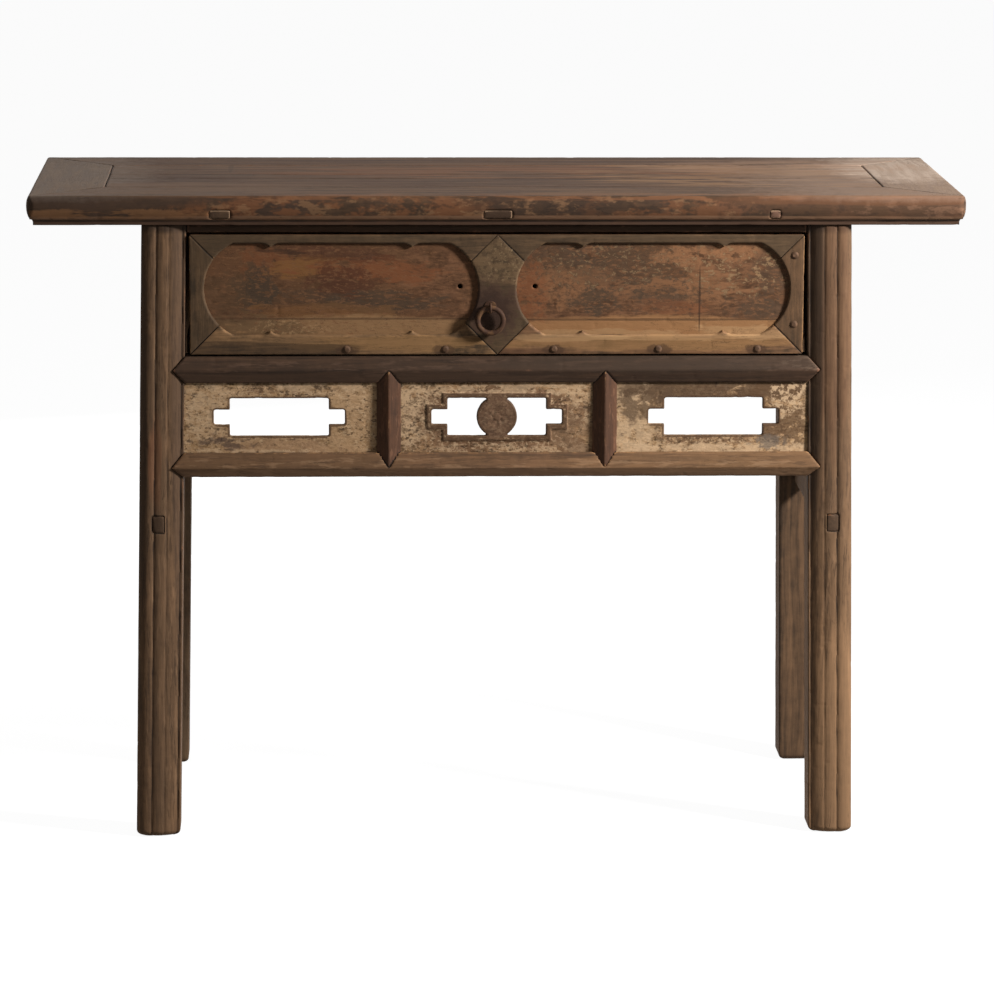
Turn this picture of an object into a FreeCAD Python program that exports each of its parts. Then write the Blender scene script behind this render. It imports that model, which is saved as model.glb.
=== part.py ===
import FreeCAD, Part
import math
import os
import Sketcher

# A Chinese recessed-leg altar table with one wide drawer and a row of pierced panels.
# Millimetres. The origin is on the floor under the middle of the table: X runs along the
# front to the right, Y from the front to the back, and Z up. The front faces -Y.

SIZES = {
    # Overall
    "top_length": 1250,
    "top_depth": 446,
    "table_height": 876,
    "top_thickness": 40,
    # Rounded edge of the top, from its upper arris down to the step above the lower strip
    "edge_round_height": 32,
    "edge_round_swell": 4.2,
    "edge_upper_inset": 3.4,
    "edge_lower_inset": 5,
    "edge_strip_inset": 9,
    # Frame of the top
    "frame_rail_width": 100,
    "frame_tenon_length": 60,
    "frame_tenon_width": 46,
    "frame_tenon_height": 12,
    # Floating boards of the top
    "board_thickness": 16,
    "board_tongue_length": 10,
    "board_tongue_height": 7,
    "middle_board_width": 45,
    "middle_board_shift": 2.5,
    # Battens under the boards, with tenons that show in the front edge
    "batten_spacing_share": 0.2952,
    "batten_width": 44,
    "batten_height": 21,
    "batten_tenon_width_left": 28,
    "batten_tenon_width_centre": 38,
    "batten_tenon_width_right": 14,
    "batten_tenon_height": 12,
    "batten_tenon_drop": 3,
    # Legs: in front a middle reed between two that fall away, with a thread on the inner arris,
    # and splayed to the side and to the front or back
    "leg_overhang": 151.5,
    "leg_setback": 12,
    "leg_width": 59.5,
    "leg_depth": 56,
    "leg_spread_side": 14.5,
    "leg_spread_front": 15,
    "edge_thread_width": 4,
    "edge_thread_swell": 1.3,
    "inner_reed_width": 18,
    "inner_reed_drop": 8.6,
    "inner_reed_swell": 1.4,
    "middle_reed_width": 17,
    "reed_groove_depth": 1.2,
    "outer_reed_drop": 9,
    "outer_reed_swell": 4.3,
    "back_leg_round": 12,
    "leg_tenon_width": 30,
    "leg_tenon_depth": 22,
    "leg_tenon_height": 22,
    # Thin rail above the drawer
    "top_rail_height": 12,
    "top_rail_depth": 34,
    "top_rail_setback": 9,
    # Ridged rails under the drawer and under the pierced panels, a drop under the legs' tops
    "drawer_rail_drop": 213.5,
    "drawer_rail_height": 36,
    "drawer_rail_ridge": 18,
    "drawer_rail_depth": 46,
    "apron_rail_drop": 341,
    "apron_rail_height": 33.5,
    "apron_rail_ridge": 13.5,
    "apron_rail_depth": 34,
    "ridge_rise": 7,
    "ridge_proud": 1,
    "point_length": 16.5,
    "point_depth": 12,
    "rail_tenon_length": 22,
    "rail_tenon_height": 20,
    "rail_tenon_depth": 12,
    "rail_tenon_setback": 16,
    # Ridged uprights between the pierced panels
    "muntin_spacing_share": 0.3465,
    "muntin_width": 33,
    "muntin_depth": 30,
    "muntin_ridge_rise": 9.5,
    "muntin_tenon_length": 12,
    "muntin_tenon_width": 16,
    "muntin_tenon_depth": 10,
    # Pierced panels with stepped openings
    "fret_thickness": 9,
    "fret_setback": 10.5,
    "panel_tongue": 6,
    "opening_height": 51.3,
    "opening_margin": 41,
    "opening_lift": 0.3,
    "opening_shift": 1.5,
    "tab_length": 21.5,
    "tab_height": 20.5,
    "bead_width": 6.5,
    "bead_rise": 1.5,
    "medallion_diameter": 54.6,
    # Sides and back of the drawer case
    "side_rail_width": 22,
    "side_rail_inset": 7.5,
    "case_rail_height": 24,
    "case_tenon_length": 26,
    "case_tenon_height": 14,
    "case_tenon_width": 12,
    "case_panel_thickness": 8,
    "back_rail_depth": 24,
    "back_rail_setback": 8,
    # Stretchers between the front and back legs, wedged right through them
    "stretcher_drop": 404,
    "stretcher_height": 34,
    "stretcher_width": 24,
    "stretcher_inset": 21.5,
    "stretcher_tenon_height": 24,
    "stretcher_tenon_width": 16.5,
    # Runners, guides and kickers of the drawer
    "runner_width": 36,
    "runner_height": 20,
    "runner_tenon_length": 10,
    "runner_tenon_width": 20,
    "runner_tenon_height": 7,
    "runner_leg_gap": 3,
    "guide_width": 13,
    "guide_height": 22,
    "guide_gap": 0.8,
    # Drawer
    "drawer_side_gap": 5.3,
    "drawer_gap_below": 2.5,
    "drawer_gap_above": 2,
    "drawer_setback": 6,
    "drawer_stop_gap": 0.4,
    "drawer_running_gap": 0.3,
    "front_frame_thickness": 5,
    "front_board_thickness": 17,
    "drawer_side_inset": 9,
    "drawer_side_thickness": 14,
    "drawer_side_drop": 4,
    "drawer_back_drop": 26,
    "drawer_back_thickness": 12,
    "drawer_bottom_thickness": 8,
    "drawer_bottom_lift": 9,
    "drawer_groove_depth": 5,
    # Mitred frame of the drawer front round two sunk cartouches
    "frame_bottom_band": 25,
    "frame_top_band": 10.5,
    "post_waist": 48,
    "stile_waist": 17.7,
    "cartouche_end_bow": 40,
    "mitre_reach": 50,
    "slope_side": 3,
    "slope_top": 2,
    "slope_bottom": 3,
    "cusp_spread_share": 0.2554,
    "cusp_half_width": 12,
    "cusp_height": 6,
    "cusp_hollow": 1.4,
    "old_hole_spacing": 100,
    "old_hole_height": 91,
    "old_hole_diameter": 6,
    # Nails that hold the frame of the drawer front
    "nail_diameter": 3,
    "nail_length": 16,
    "nail_head_diameter": 11,
    "nail_crown_diameter": 5.6,
    "nail_head_rise": 2,
    "nail_edge_distance": 7,
    "nail_stile_distance": 13,
    # Ring pull on its split pin
    "ring_outer_diameter": 41,
    "ring_wire_diameter": 7.2,
    "ring_shift": 9.5,
    "pin_height": 64,
    "pin_wire_diameter": 3.2,
    "pin_hole_diameter": 8.2,
    "pin_shank_width": 4,
    "pin_stand_off": 0.3,
    "pin_foot_length": 12,
    "pin_foot_thickness": 1.6,
    "plate_diameter": 17,
    "plate_thickness": 1.2,
    # One overrun for every cutting shape
    "overrun": 5,
}

# Where nails stand along the lower band, as shares of half the drawer's width
LOWER_NAIL_SHARES = (-0.49, -0.17, 0.184, 0.526, 0.85)
# Where nails stand up the right stile, as shares of the drawer front's height
STILE_NAIL_SHARES = (0.25, 0.828)
# Height of the tenons of the plain long rails, as a share of the rail's height
FLAT_TENON_SHARE = 0.5
# How far a quarter circle bows from its chord, as a share of its radius
QUARTER_BOW_SHARE = 1 - math.sqrt(1 / 2)
# Turns that lay a round bar from Z along the front's outward way, or along the table's length
TO_FRONT = FreeCAD.Rotation(FreeCAD.Vector(1, 0, 0), 90)
TO_RIGHT = FreeCAD.Rotation(FreeCAD.Vector(0, 1, 0), 90)


class Measure:
    """A size in millimetres together with the formula that ties it to the sheet."""

    def __init__(self, value, text):
        self.value = value
        self.text = text

    def join(self, other, sign, value):
        return Measure(value, f"({self.text} {sign} {measure(other).text})")

    def __add__(self, other):
        return self.join(other, "+", self.value + measure(other).value)

    def __sub__(self, other):
        return self.join(other, "-", self.value - measure(other).value)

    def __mul__(self, other):
        return self.join(other, "*", self.value * measure(other).value)

    def __truediv__(self, other):
        return self.join(other, "/", self.value / measure(other).value)

    def __neg__(self):
        return measure(0) - self


def measure(number):
    """Anything used in a sum, as a measure."""
    if isinstance(number, Measure):
        return number
    return Measure(float(number), repr(float(number)))


class Sheet:
    """The sheet of driving sizes, read by name."""

    def __init__(self, document, values):
        self.cells = document.addObject("Spreadsheet::Sheet", "sizes")
        for row, (alias, value) in enumerate(values.items(), start=1):
            self.cells.set(f"A{row}", alias.replace("_", " "))
            self.cells.set(f"B{row}", str(value))
            self.cells.setAlias(f"B{row}", alias)
        document.recompute()

    def __getattr__(self, alias):
        return Measure(float(getattr(self.cells, alias)), f"sizes.{alias}")


doc = FreeCAD.newDocument("altar_table")
size = Sheet(doc, SIZES)
pieces = {}


def tie(thing, path, amount):
    """Bind a property of a document object to the sheet."""
    thing.setExpression(path, measure(amount).text)


def tie_place(thing, x=0, y=0, z=0):
    """Bind the place of a document object."""
    for axis, amount in zip("xyz", (x, y, z)):
        tie(thing, f".Placement.Base.{axis}", amount)


def keep(name, thing):
    """Register the finished object of a sub-part under its node name."""
    thing.Label = name
    pieces[name] = thing
    return thing


def ordered(first, second):
    """Two places on one axis, the lower one first."""
    return sorted((measure(first), measure(second)), key=lambda place: place.value)


def around(middle, width):
    """The low and the high place of a width about its middle."""
    return middle - width / 2, middle + width / 2


# Helpers that make and join shapes

def block(name, x, y, z):
    """A block between the low and high measure of each axis."""
    box = doc.addObject("Part::Box", name)
    for side, (low, high) in zip(("Length", "Width", "Height"), (x, y, z)):
        tie(box, side, measure(high) - low)
    tie_place(box, x[0], y[0], z[0])
    return box


def rod(name, diameter, length, start, turn=None):
    """A round bar that runs from its start along Z, or along -Y or X where turned."""
    bar = doc.addObject("Part::Cylinder", name)
    tie(bar, "Radius", diameter / 2)
    tie(bar, "Height", length)
    if turn is not None:
        bar.Placement = FreeCAD.Placement(FreeCAD.Vector(), turn)
    tie_place(bar, *start)
    return bar


def fuse(name, *shapes):
    """Several shapes as one."""
    whole = doc.addObject("Part::MultiFuse", name)
    whole.Shapes = list(shapes)
    whole.Refine = True
    return whole


def cut(name, base, *tools):
    """A shape less one or more tools."""
    rest = doc.addObject("Part::Cut", name)
    rest.Base = base
    rest.Tool = tools[0] if len(tools) == 1 else fuse(name + "_tools", *tools)
    rest.Refine = True
    return rest


def common(name, first, second):
    """What two shapes share."""
    shared = doc.addObject("Part::Common", name)
    shared.Base = first
    shared.Tool = second
    shared.Refine = True
    return shared


def bow_circle(start, end, bow):
    """Centre and radius of the arc from start to end that bows to the left of the way by bow."""
    across, along = end[0] - start[0], end[1] - start[1]
    half_chord = math.hypot(across, along) / 2
    radius = (half_chord ** 2 + bow ** 2) / (2 * abs(bow))
    reach = (bow - math.copysign(radius, bow)) / (2 * half_chord)
    middle = ((start[0] + end[0]) / 2, (start[1] + end[1]) / 2)
    return (middle[0] - along * reach, middle[1] + across * reach), radius


def add_edge(sketch, start, end, bow):
    """One line or arc of an outline. Returns which of its ends is the start."""
    if bow == 0:
        sketch.addGeometry(Part.LineSegment(FreeCAD.Vector(*start), FreeCAD.Vector(*end)), False)
        return 1
    centre, radius = bow_circle(start, end, bow)
    first, last = (end, start) if bow > 0 else (start, end)
    turn = [math.atan2(v - centre[1], u - centre[0]) for u, v in (first, last)]
    if turn[1] < turn[0]:
        turn[1] += 2 * math.pi
    circle = Part.Circle(FreeCAD.Vector(*centre), FreeCAD.Vector(0, 0, 1), radius)
    sketch.addGeometry(Part.ArcOfCircle(circle, *turn), False)
    return 2 if bow > 0 else 1


def draw_outline(sketch, corners):
    """A closed outline. A corner is (u, v), or (u, v, bow) where an arc leaves it."""
    corners = [(measure(c[0]), measure(c[1]), measure(c[2] if len(c) > 2 else 0)) for c in corners]
    spots = [(u.value, v.value) for u, v, _ in corners]
    count = len(corners)
    starts = [add_edge(sketch, spots[i], spots[(i + 1) % count], corners[i][2].value)
              for i in range(count)]
    for i in range(count):
        after = (i + 1) % count
        sketch.addConstraint(Sketcher.Constraint("Coincident", i, 3 - starts[i], after, starts[after]))
    for i, (u, v, bow) in enumerate(corners):
        for kind, amount in (("DistanceX", u), ("DistanceY", v)):
            fixed = Sketcher.Constraint(kind, -1, 1, i, starts[i], amount.value)
            sketch.setExpression(f"Constraints[{sketch.addConstraint(fixed)}]", amount.text)
        if bow.value != 0:
            after = corners[(i + 1) % count]
            chord = ((after[0] - u) * (after[0] - u) + (after[1] - v) * (after[1] - v)) / 4
            radius = (chord + bow * bow) / (bow * math.copysign(2, bow.value))
            bent = Sketcher.Constraint("Radius", i, radius.value)
            sketch.setExpression(f"Constraints[{sketch.addConstraint(bent)}]", radius.text)


def add_sketch(body, name, plane, corners, lift=0):
    """A sketch of an outline on one of the body's own planes, lifted off it."""
    sketch = body.newObject("Sketcher::SketchObject", name)
    flat = [feature for feature in body.Origin.OriginFeatures if feature.Role == plane][0]
    sketch.AttachmentSupport = (flat, [""])
    sketch.MapMode = "FlatFace"
    tie(sketch, ".AttachmentOffset.Base.z", lift)
    draw_outline(sketch, corners)
    return sketch


def prism(name, plane, corners, length, place=(0, 0, 0), lean=None):
    """An outline padded off its plane, leaning along a vector where one is given."""
    body = doc.addObject("PartDesign::Body", name)
    pad = body.newObject("PartDesign::Pad", name + "_pad")
    pad.Profile = add_sketch(body, name + "_outline", plane, corners)
    tie(pad, "Length", length)
    if lean is not None:
        pad.UseCustomVector = True
        pad.AlongSketchNormal = True
        for axis, amount in zip("xyz", lean):
            tie(pad, f"Direction.{axis}", amount)
    body.Tip = pad
    tie_place(body, *place)
    return body


def plate(name, corners, front, back):
    """An outline in the plane of the table's front, from its front face to its back face."""
    return prism(name, "XZ_Plane", corners, measure(back) - front, place=(0, back, 0))


# Places that several pieces share

half_length = size.top_length / 2
half_depth = size.top_depth / 2
leg_top = size.table_height - size.top_thickness
foot_inner = half_length - size.leg_overhang - size.leg_width + size.leg_spread_side
foot_front = half_depth - size.leg_setback + size.leg_spread_front


def leg_inner(height):
    """Distance from the middle to the inner face of a leg at a height."""
    return foot_inner - size.leg_spread_side * height / leg_top


def leg_front(height):
    """Distance from the middle to the front face of a front leg at a height."""
    return foot_front - size.leg_spread_front * height / leg_top


drawer_rail_low = leg_top - size.drawer_rail_drop
apron_low = leg_top - size.apron_rail_drop
apron_high = apron_low + size.apron_rail_height
case_floor = drawer_rail_low + size.drawer_rail_height

drawer_bottom = case_floor + size.drawer_gap_below
drawer_top = leg_top - size.top_rail_height - size.drawer_gap_above
drawer_height = drawer_top - drawer_bottom
drawer_level = (drawer_bottom + drawer_top) / 2
drawer_face = leg_front(drawer_level) - size.drawer_setback
drawer_width = (leg_inner(drawer_level) - size.drawer_side_gap) * 2
cartouche_length = drawer_width / 2 - size.post_waist / 2 - size.stile_waist

opening_level = (apron_high + drawer_rail_low) / 2 + size.opening_lift
muntin_spacing = leg_inner(opening_level) * 2 * size.muntin_spacing_share
opening_length = muntin_spacing - size.muntin_width - (size.opening_margin + size.tab_length) * 2

back_rail_inset = size.back_rail_setback + size.back_rail_depth
back_rail_face = leg_front(leg_top - size.case_rail_height / 2) - back_rail_inset
drawer_end = back_rail_face - size.drawer_stop_gap
panel_heights = (case_floor - size.panel_tongue, leg_top - size.case_rail_height + size.panel_tongue)


# Top

def edge_outline(reach):
    """Section of a frame rail of the top: (out from the middle, up), reach is its outer face."""
    top, low = size.table_height, leg_top
    step = top - size.edge_round_height
    inner = reach - size.frame_rail_width
    return [
        (inner, low), (reach - size.edge_strip_inset, low), (reach - size.edge_strip_inset, step),
        (reach - size.edge_lower_inset, step, -size.edge_round_swell),
        (reach - size.edge_upper_inset, top), (inner, top),
    ]


def mirrored(corners):
    """An outline on the other side of the middle, run the other way round."""
    flipped = []
    for i in reversed(range(len(corners))):
        before = corners[i - 1]
        bow = (before[2],) if len(before) > 2 else ()
        flipped.append((-measure(corners[i][0]), corners[i][1]) + bow)
    return flipped


def mitre_outline(length, depth, width):
    """Plan of a frame rail that lies on the far side of a frame, mitred at both ends."""
    inner_length, inner_depth = length - width, depth - width
    return [(-length, depth), (-inner_length, inner_depth), (inner_length, inner_depth), (length, depth)]


def long_rail_blank(name, side):
    """A long rail of the top before its joints are cut: mitred, with a tenon at each end."""
    section = edge_outline(half_depth)
    section = section if side > 0 else mirrored(section)
    bar = prism(name + "_bar", "YZ_Plane", section, size.top_length, place=(-half_length, 0, 0))
    plan = [(x, y * side) for x, y in mitre_outline(half_length, half_depth, size.frame_rail_width)]
    wedge = prism(name + "_mitres", "XY_Plane", plan, size.top_thickness, place=(0, 0, leg_top))
    middle = (half_depth - size.frame_rail_width / 2) * side
    reach = half_length - size.frame_rail_width + size.frame_tenon_length
    tenon = block(name + "_tenon", (-reach, reach), around(middle, size.frame_tenon_width),
                  around(leg_top + size.top_thickness / 2, size.frame_tenon_height))
    return fuse(name + "_blank", common(name + "_mitred", bar, wedge), tenon)


def end_rail(name, side, joined):
    """An end rail of the top, mortised for the long rails and grooved for the boards."""
    section = edge_outline(half_length)
    section = section if side > 0 else mirrored(section)
    bar = prism(name + "_bar", "XZ_Plane", section, size.top_depth, place=(0, half_depth, 0))
    plan = [(y * side, x) for x, y in mitre_outline(half_depth, half_length, size.frame_rail_width)]
    wedge = prism(name + "_mitres", "XY_Plane", plan, size.top_thickness, place=(0, 0, leg_top))
    return keep(name, cut(name, common(name + "_mitred", bar, wedge), *joined))


def top_board(name, front, back, front_tongue, back_tongue):
    """One floating board, flush on top, with tongues into the frame."""
    panel_x = half_length - size.frame_rail_width
    under = size.table_height - size.board_thickness
    field = block(name + "_field", (-panel_x, panel_x), (front, back), (under, size.table_height))
    tongue = size.board_tongue_length
    tongues = block(name + "_tongues", (-panel_x - tongue, panel_x + tongue),
                    (front - tongue * front_tongue, back + tongue * back_tongue),
                    around(under + size.board_thickness / 2, size.board_tongue_height))
    return keep(name, fuse(name, field, tongues))


def top_batten(name, place, tenon_width, rail_outline):
    """A batten across the boards whose tenons come out flush in both long edges."""
    inner = half_depth - size.frame_rail_width
    under_boards = size.table_height - size.board_thickness
    bar = block(name + "_bar", around(place, size.batten_width), (-inner, inner),
                (under_boards - size.batten_height, under_boards))
    high = under_boards - size.batten_tenon_drop
    tenon = block(name + "_tenon", around(place, tenon_width), (-half_depth, half_depth),
                  (high - size.batten_tenon_height, high))
    return keep(name, fuse(name, bar, common(name + "_flush", tenon, rail_outline)))


def make_top(leg_blanks):
    """The frame, its boards and the battens under them."""
    blanks = {"top_front_rail": long_rail_blank("top_front_rail", -1),
              "top_back_rail": long_rail_blank("top_back_rail", 1)}
    inner = half_depth - size.frame_rail_width
    front_joint = -(size.middle_board_width / 2 + size.middle_board_shift)
    back_joint = front_joint + size.middle_board_width
    boards = [top_board("top_board_front", -inner, front_joint, 1, 0),
              top_board("top_board_middle", front_joint, back_joint, 0, 0),
              top_board("top_board_back", back_joint, inner, 0, 1)]
    section = edge_outline(half_depth)
    outer = section[1:5]
    across = outer + mirrored(outer)
    slab = prism("top_section", "YZ_Plane", across, size.top_length, place=(-half_length, 0, 0))
    spacing = size.top_length * size.batten_spacing_share
    battens = [top_batten("top_batten_left", -spacing, size.batten_tenon_width_left, slab),
               top_batten("top_batten_centre", measure(0), size.batten_tenon_width_centre, slab),
               top_batten("top_batten_right", spacing, size.batten_tenon_width_right, slab)]
    for name, blank in blanks.items():
        keep(name, cut(name, blank, *boards, *battens, *leg_blanks))
    for name, side in (("top_left_end_rail", -1), ("top_right_end_rail", 1)):
        end_rail(name, side, list(blanks.values()) + boards)


# Legs

def front_leg_section():
    """Section of a front leg as (out from the inner face, in from the front, bow)."""
    groove = size.reed_groove_depth
    first = size.edge_thread_width
    second = first + size.inner_reed_width
    third = second + size.middle_reed_width
    fall = size.inner_reed_drop
    return [(0, fall, size.edge_thread_swell), (first, fall, size.inner_reed_swell), (second, groove, groove),
            (third, groove, size.outer_reed_swell), (size.leg_width, size.outer_reed_drop),
            (size.leg_width, size.leg_depth), (0, size.leg_depth)]


def back_leg_section():
    """Section of a back leg, plain but for its rounded outer corner."""
    corner = size.back_leg_round
    return [(0, 0), (size.leg_width - corner, 0, corner * QUARTER_BOW_SHARE),
            (size.leg_width, corner), (size.leg_width, size.leg_depth), (0, size.leg_depth)]


def leg_blank(name, side, end):
    """A splayed leg with its top tenon. side is 1 on the right, end is 1 at the back."""
    section = front_leg_section() if end < 0 else back_leg_section()
    corners = []
    for out, into, *bow in section:
        spot = ((foot_inner + out) * side, (foot_front - into) * end)
        corners.append(spot + tuple(measure(b) * (side * end) for b in bow))
    lean = (size.leg_spread_side * -side, size.leg_spread_front * -end, leg_top)
    post = prism(name + "_post", "XY_Plane", corners, leg_top, lean=lean)
    middle_x = (leg_inner(leg_top) + size.leg_width / 2) * side
    middle_y = (leg_front(leg_top) - size.leg_depth / 2) * end
    tenon = block(name + "_tenon", around(middle_x, size.leg_tenon_width),
                  around(middle_y, size.leg_tenon_depth), (leg_top, leg_top + size.leg_tenon_height))
    return fuse(name + "_blank", post, tenon)


# Front rails and uprights

def ridge_section(face, low, high, ridge, depth):
    """Section of a ridged rail in the plane across it: (back from the front, up)."""
    return [(face, ridge), (face + size.ridge_rise, high), (face + depth, high),
            (face + depth, low), (face + size.ridge_rise, low)]


def pointed_rail(name, low, height, ridge, depth):
    """A ridged rail whose ends lap the legs in points, with a tenon behind each point."""
    high, crest = low + height, low + ridge
    face = -leg_front(crest) - size.ridge_proud
    tip = leg_inner(crest) + size.point_length
    bar = prism(name + "_bar", "YZ_Plane", ridge_section(face, low, high, crest, depth), tip * 2,
                place=(-tip, 0, 0))
    foot, head = leg_inner(low), leg_inner(high)
    points = plate(name + "_points", [(-foot, low), (foot, low), (tip, crest), (head, high), (-head, high),
                                      (-tip, crest)], face - size.overrun, face + size.point_depth)
    middle = plate(name + "_middle", [(-foot, low), (foot, low), (head, high), (-head, high)],
                   face - size.overrun, face + depth)
    shaped = common(name + "_shaped", bar, fuse(name + "_reach", points, middle))
    reach = leg_inner(crest) + size.rail_tenon_length
    near = face + size.rail_tenon_setback
    tenon = block(name + "_tenon", (-reach, reach), (near, near + size.rail_tenon_depth),
                  around(low + height / 2, size.rail_tenon_height))
    return fuse(name + "_blank", shaped, tenon), face


def muntin_blank(name, side, rail_face, apron_face):
    """An upright whose pointed ends run out on the ridges of both rails."""
    low, high = apron_high, drawer_rail_low
    low_tip = apron_low + size.apron_rail_ridge
    high_tip = drawer_rail_low + size.drawer_rail_ridge
    place = muntin_spacing / 2 * side
    left, right = around(place, size.muntin_width)
    edge, back = apron_face + size.muntin_ridge_rise, apron_face + size.muntin_depth
    section = [(place, apron_face), (right, edge), (right, back), (left, back), (left, edge)]
    rise = high_tip - low_tip
    bar = prism(name + "_bar", "XY_Plane", section, rise, place=(0, 0, low_tip),
                lean=(0, rail_face - apron_face, rise))
    front = apron_face - size.overrun
    points = plate(name + "_points", [(place, low_tip), (right, low), (right, high), (place, high_tip),
                                      (left, high), (left, low)], front, rail_face + size.point_depth)
    middle = plate(name + "_middle", [(left, low), (right, low), (right, high), (left, high)], front,
                   rail_face + size.muntin_depth)
    shaped = common(name + "_shaped", bar, fuse(name + "_reach", points, middle))
    near = apron_face + size.rail_tenon_setback
    tenon = block(name + "_tenon", around(place, size.muntin_tenon_width),
                  (near, near + size.muntin_tenon_depth),
                  (low - size.muntin_tenon_length, high + size.muntin_tenon_length))
    return fuse(name + "_blank", shaped, tenon)


# Pierced panels

def stepped_outline(centre, grow=0):
    """Outline of an opening with a step at each end, grown all round."""
    half, far = opening_length / 2 + grow, opening_length / 2 + size.tab_length + grow
    tall, short = size.opening_height / 2 + grow, size.tab_height / 2 + grow
    quarter = [(far, short), (half, short), (half, tall)]
    upper = quarter + [(-u, v) for u, v in reversed(quarter)]
    turned = [(u, -v) for u, v in reversed(upper)]
    return [(centre + u, opening_level + v) for u, v in upper + turned]


def fret_panel(name, left, right, centre, medallion=False):
    """A panel with a stepped opening, which in the middle one has a raised bead and a medallion."""
    low = apron_high - size.panel_tongue
    high = drawer_rail_low + size.panel_tongue
    face = size.fret_setback - leg_front(opening_level)
    back = face + size.fret_thickness
    board = block(name + "_board", (left, right), (face, back), (low, high))
    hole = plate(name + "_hole", stepped_outline(centre), face - size.overrun, back + size.overrun)
    if not medallion:
        return keep(name, cut(name, board, hole))
    bead = plate(name + "_bead", stepped_outline(centre, size.bead_width), face - size.bead_rise, back)
    raised = fuse(name + "_raised", board, bead)
    disc = rod(name + "_disc", size.medallion_diameter, back - face + size.bead_rise,
               (centre, back, opening_level), TO_FRONT)
    return keep(name, fuse(name, cut(name + "_pierced", raised, hole), disc))


def make_frets():
    """The three pierced panels, housed in the legs and uprights beside them."""
    inner, outer = around(muntin_spacing / 2, size.muntin_width)
    leg_side = leg_inner(opening_level)
    centre = (outer + leg_side) / 2 + size.opening_shift
    tongue = size.panel_tongue
    return [fret_panel("fret_panel_left", -leg_side - tongue, -outer + tongue, -centre),
            fret_panel("fret_panel_centre", -inner - tongue, inner + tongue, measure(0), medallion=True),
            fret_panel("fret_panel_right", outer - tongue, leg_side + tongue, centre)]


# Sides and back of the case

def cross_rail(name, side, low, height, legs):
    """A plain rail between a front and a back leg, tenoned into both."""
    level = low + height / 2
    outer = leg_inner(level) + size.leg_width - size.side_rail_inset
    inner = outer - size.side_rail_width
    shoulder = leg_front(level) - size.leg_depth
    reach = shoulder + size.case_tenon_length
    bar = block(name + "_bar", ordered(inner * side, outer * side), (-reach, reach), (low, low + height))
    middle = (inner + outer) / 2 * side
    tenon = block(name + "_tenon", around(middle, size.case_tenon_width), (-reach, reach),
                  around(level, size.case_tenon_height))
    return keep(name, fuse(name, cut(name + "_shouldered", bar, *legs), tenon))


def long_case_rail(name, end, low, height, depth, setback, legs):
    """A plain rail between the two legs of the front or the back, tenoned into both."""
    level = low + height / 2
    face = leg_front(level) - setback
    reach = leg_inner(level) + size.rail_tenon_length
    y = ordered(face * end, (face - depth) * end)
    bar = block(name + "_bar", (-reach, reach), y, (low, low + height))
    tenon = block(name + "_tenon", (-reach, reach), around((face - depth / 2) * end, size.case_tenon_width),
                  around(level, height * FLAT_TENON_SHARE))
    return keep(name, fuse(name, cut(name + "_shouldered", bar, *legs), tenon))


def side_panel(name, side):
    """A thin board in the grooves of two legs and two rails."""
    level = (case_floor + leg_top) / 2
    outer = leg_inner(level) + size.leg_width - size.side_rail_inset
    middle = (outer - size.side_rail_width / 2) * side
    reach = leg_front(level) - size.leg_depth + size.panel_tongue
    thick = around(middle, size.case_panel_thickness)
    return keep(name, block(name, thick, (-reach, reach), panel_heights))


def back_panel(name):
    """A thin board in the grooves of the back legs and rails."""
    level = (case_floor + leg_top) / 2
    reach = leg_inner(level) + size.panel_tongue
    middle = leg_front(level) - size.back_rail_setback - size.back_rail_depth / 2
    thick = around(middle, size.case_panel_thickness)
    return keep(name, block(name, (-reach, reach), thick, panel_heights))


def side_stretcher(name, side, legs):
    """A stretcher low between a front and a back leg, its tenons flush in their outer faces."""
    level = leg_top - size.stretcher_drop
    inner = leg_inner(level) + size.stretcher_inset
    shoulder = leg_front(level) - size.leg_depth + size.overrun
    outer = inner + size.stretcher_width
    bar = block(name + "_bar", ordered(inner * side, outer * side), (-shoulder, shoulder),
                around(level, size.stretcher_height))
    thick = around((inner + outer) / 2 * side, size.stretcher_tenon_width)
    tall = around(level, size.stretcher_tenon_height)
    through = block(name + "_through", thick, (-foot_front, foot_front), tall)
    inside = common(name + "_flush", through, fuse(name + "_legs", *legs))
    core = block(name + "_core", thick, (-shoulder, shoulder), tall)
    return keep(name, fuse(name, cut(name + "_shouldered", bar, *legs), core, inside))


# Runners, guides and kickers

def make_slides(rail_back, top_rail_back):
    """A runner under each drawer side, a guide beside it and a kicker over it."""
    outer = leg_inner(case_floor + size.guide_height) - size.runner_leg_gap
    middle = outer - size.runner_width / 2
    back_face = leg_front(case_floor - size.case_rail_height / 2) - back_rail_inset
    drawer_side = drawer_width / 2 - size.drawer_side_inset
    guide = drawer_side + size.guide_gap + size.guide_width / 2
    runners = []
    for word, side in (("left", -1), ("right", 1)):
        name = "drawer_runner_" + word
        wide = around(middle * side, size.runner_width)
        bar = block(name + "_bar", wide, (rail_back, back_face),
                    (case_floor - size.runner_height, case_floor))
        tenon = block(name + "_tenon", around(middle * side, size.runner_tenon_width),
                      (rail_back - size.runner_tenon_length, back_face + size.runner_tenon_length),
                      around(case_floor - size.runner_height / 2, size.runner_tenon_height))
        runners.append(keep(name, fuse(name, bar, tenon)))
        name = "drawer_guide_" + word
        keep(name, block(name, around(guide * side, size.guide_width), (rail_back, back_face),
                         (case_floor, case_floor + size.guide_height)))
        name = "drawer_kicker_" + word
        keep(name, block(name, wide, (top_rail_back, back_rail_face),
                         (leg_top - size.top_rail_height, leg_top)))
    return runners


# Drawer

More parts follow.
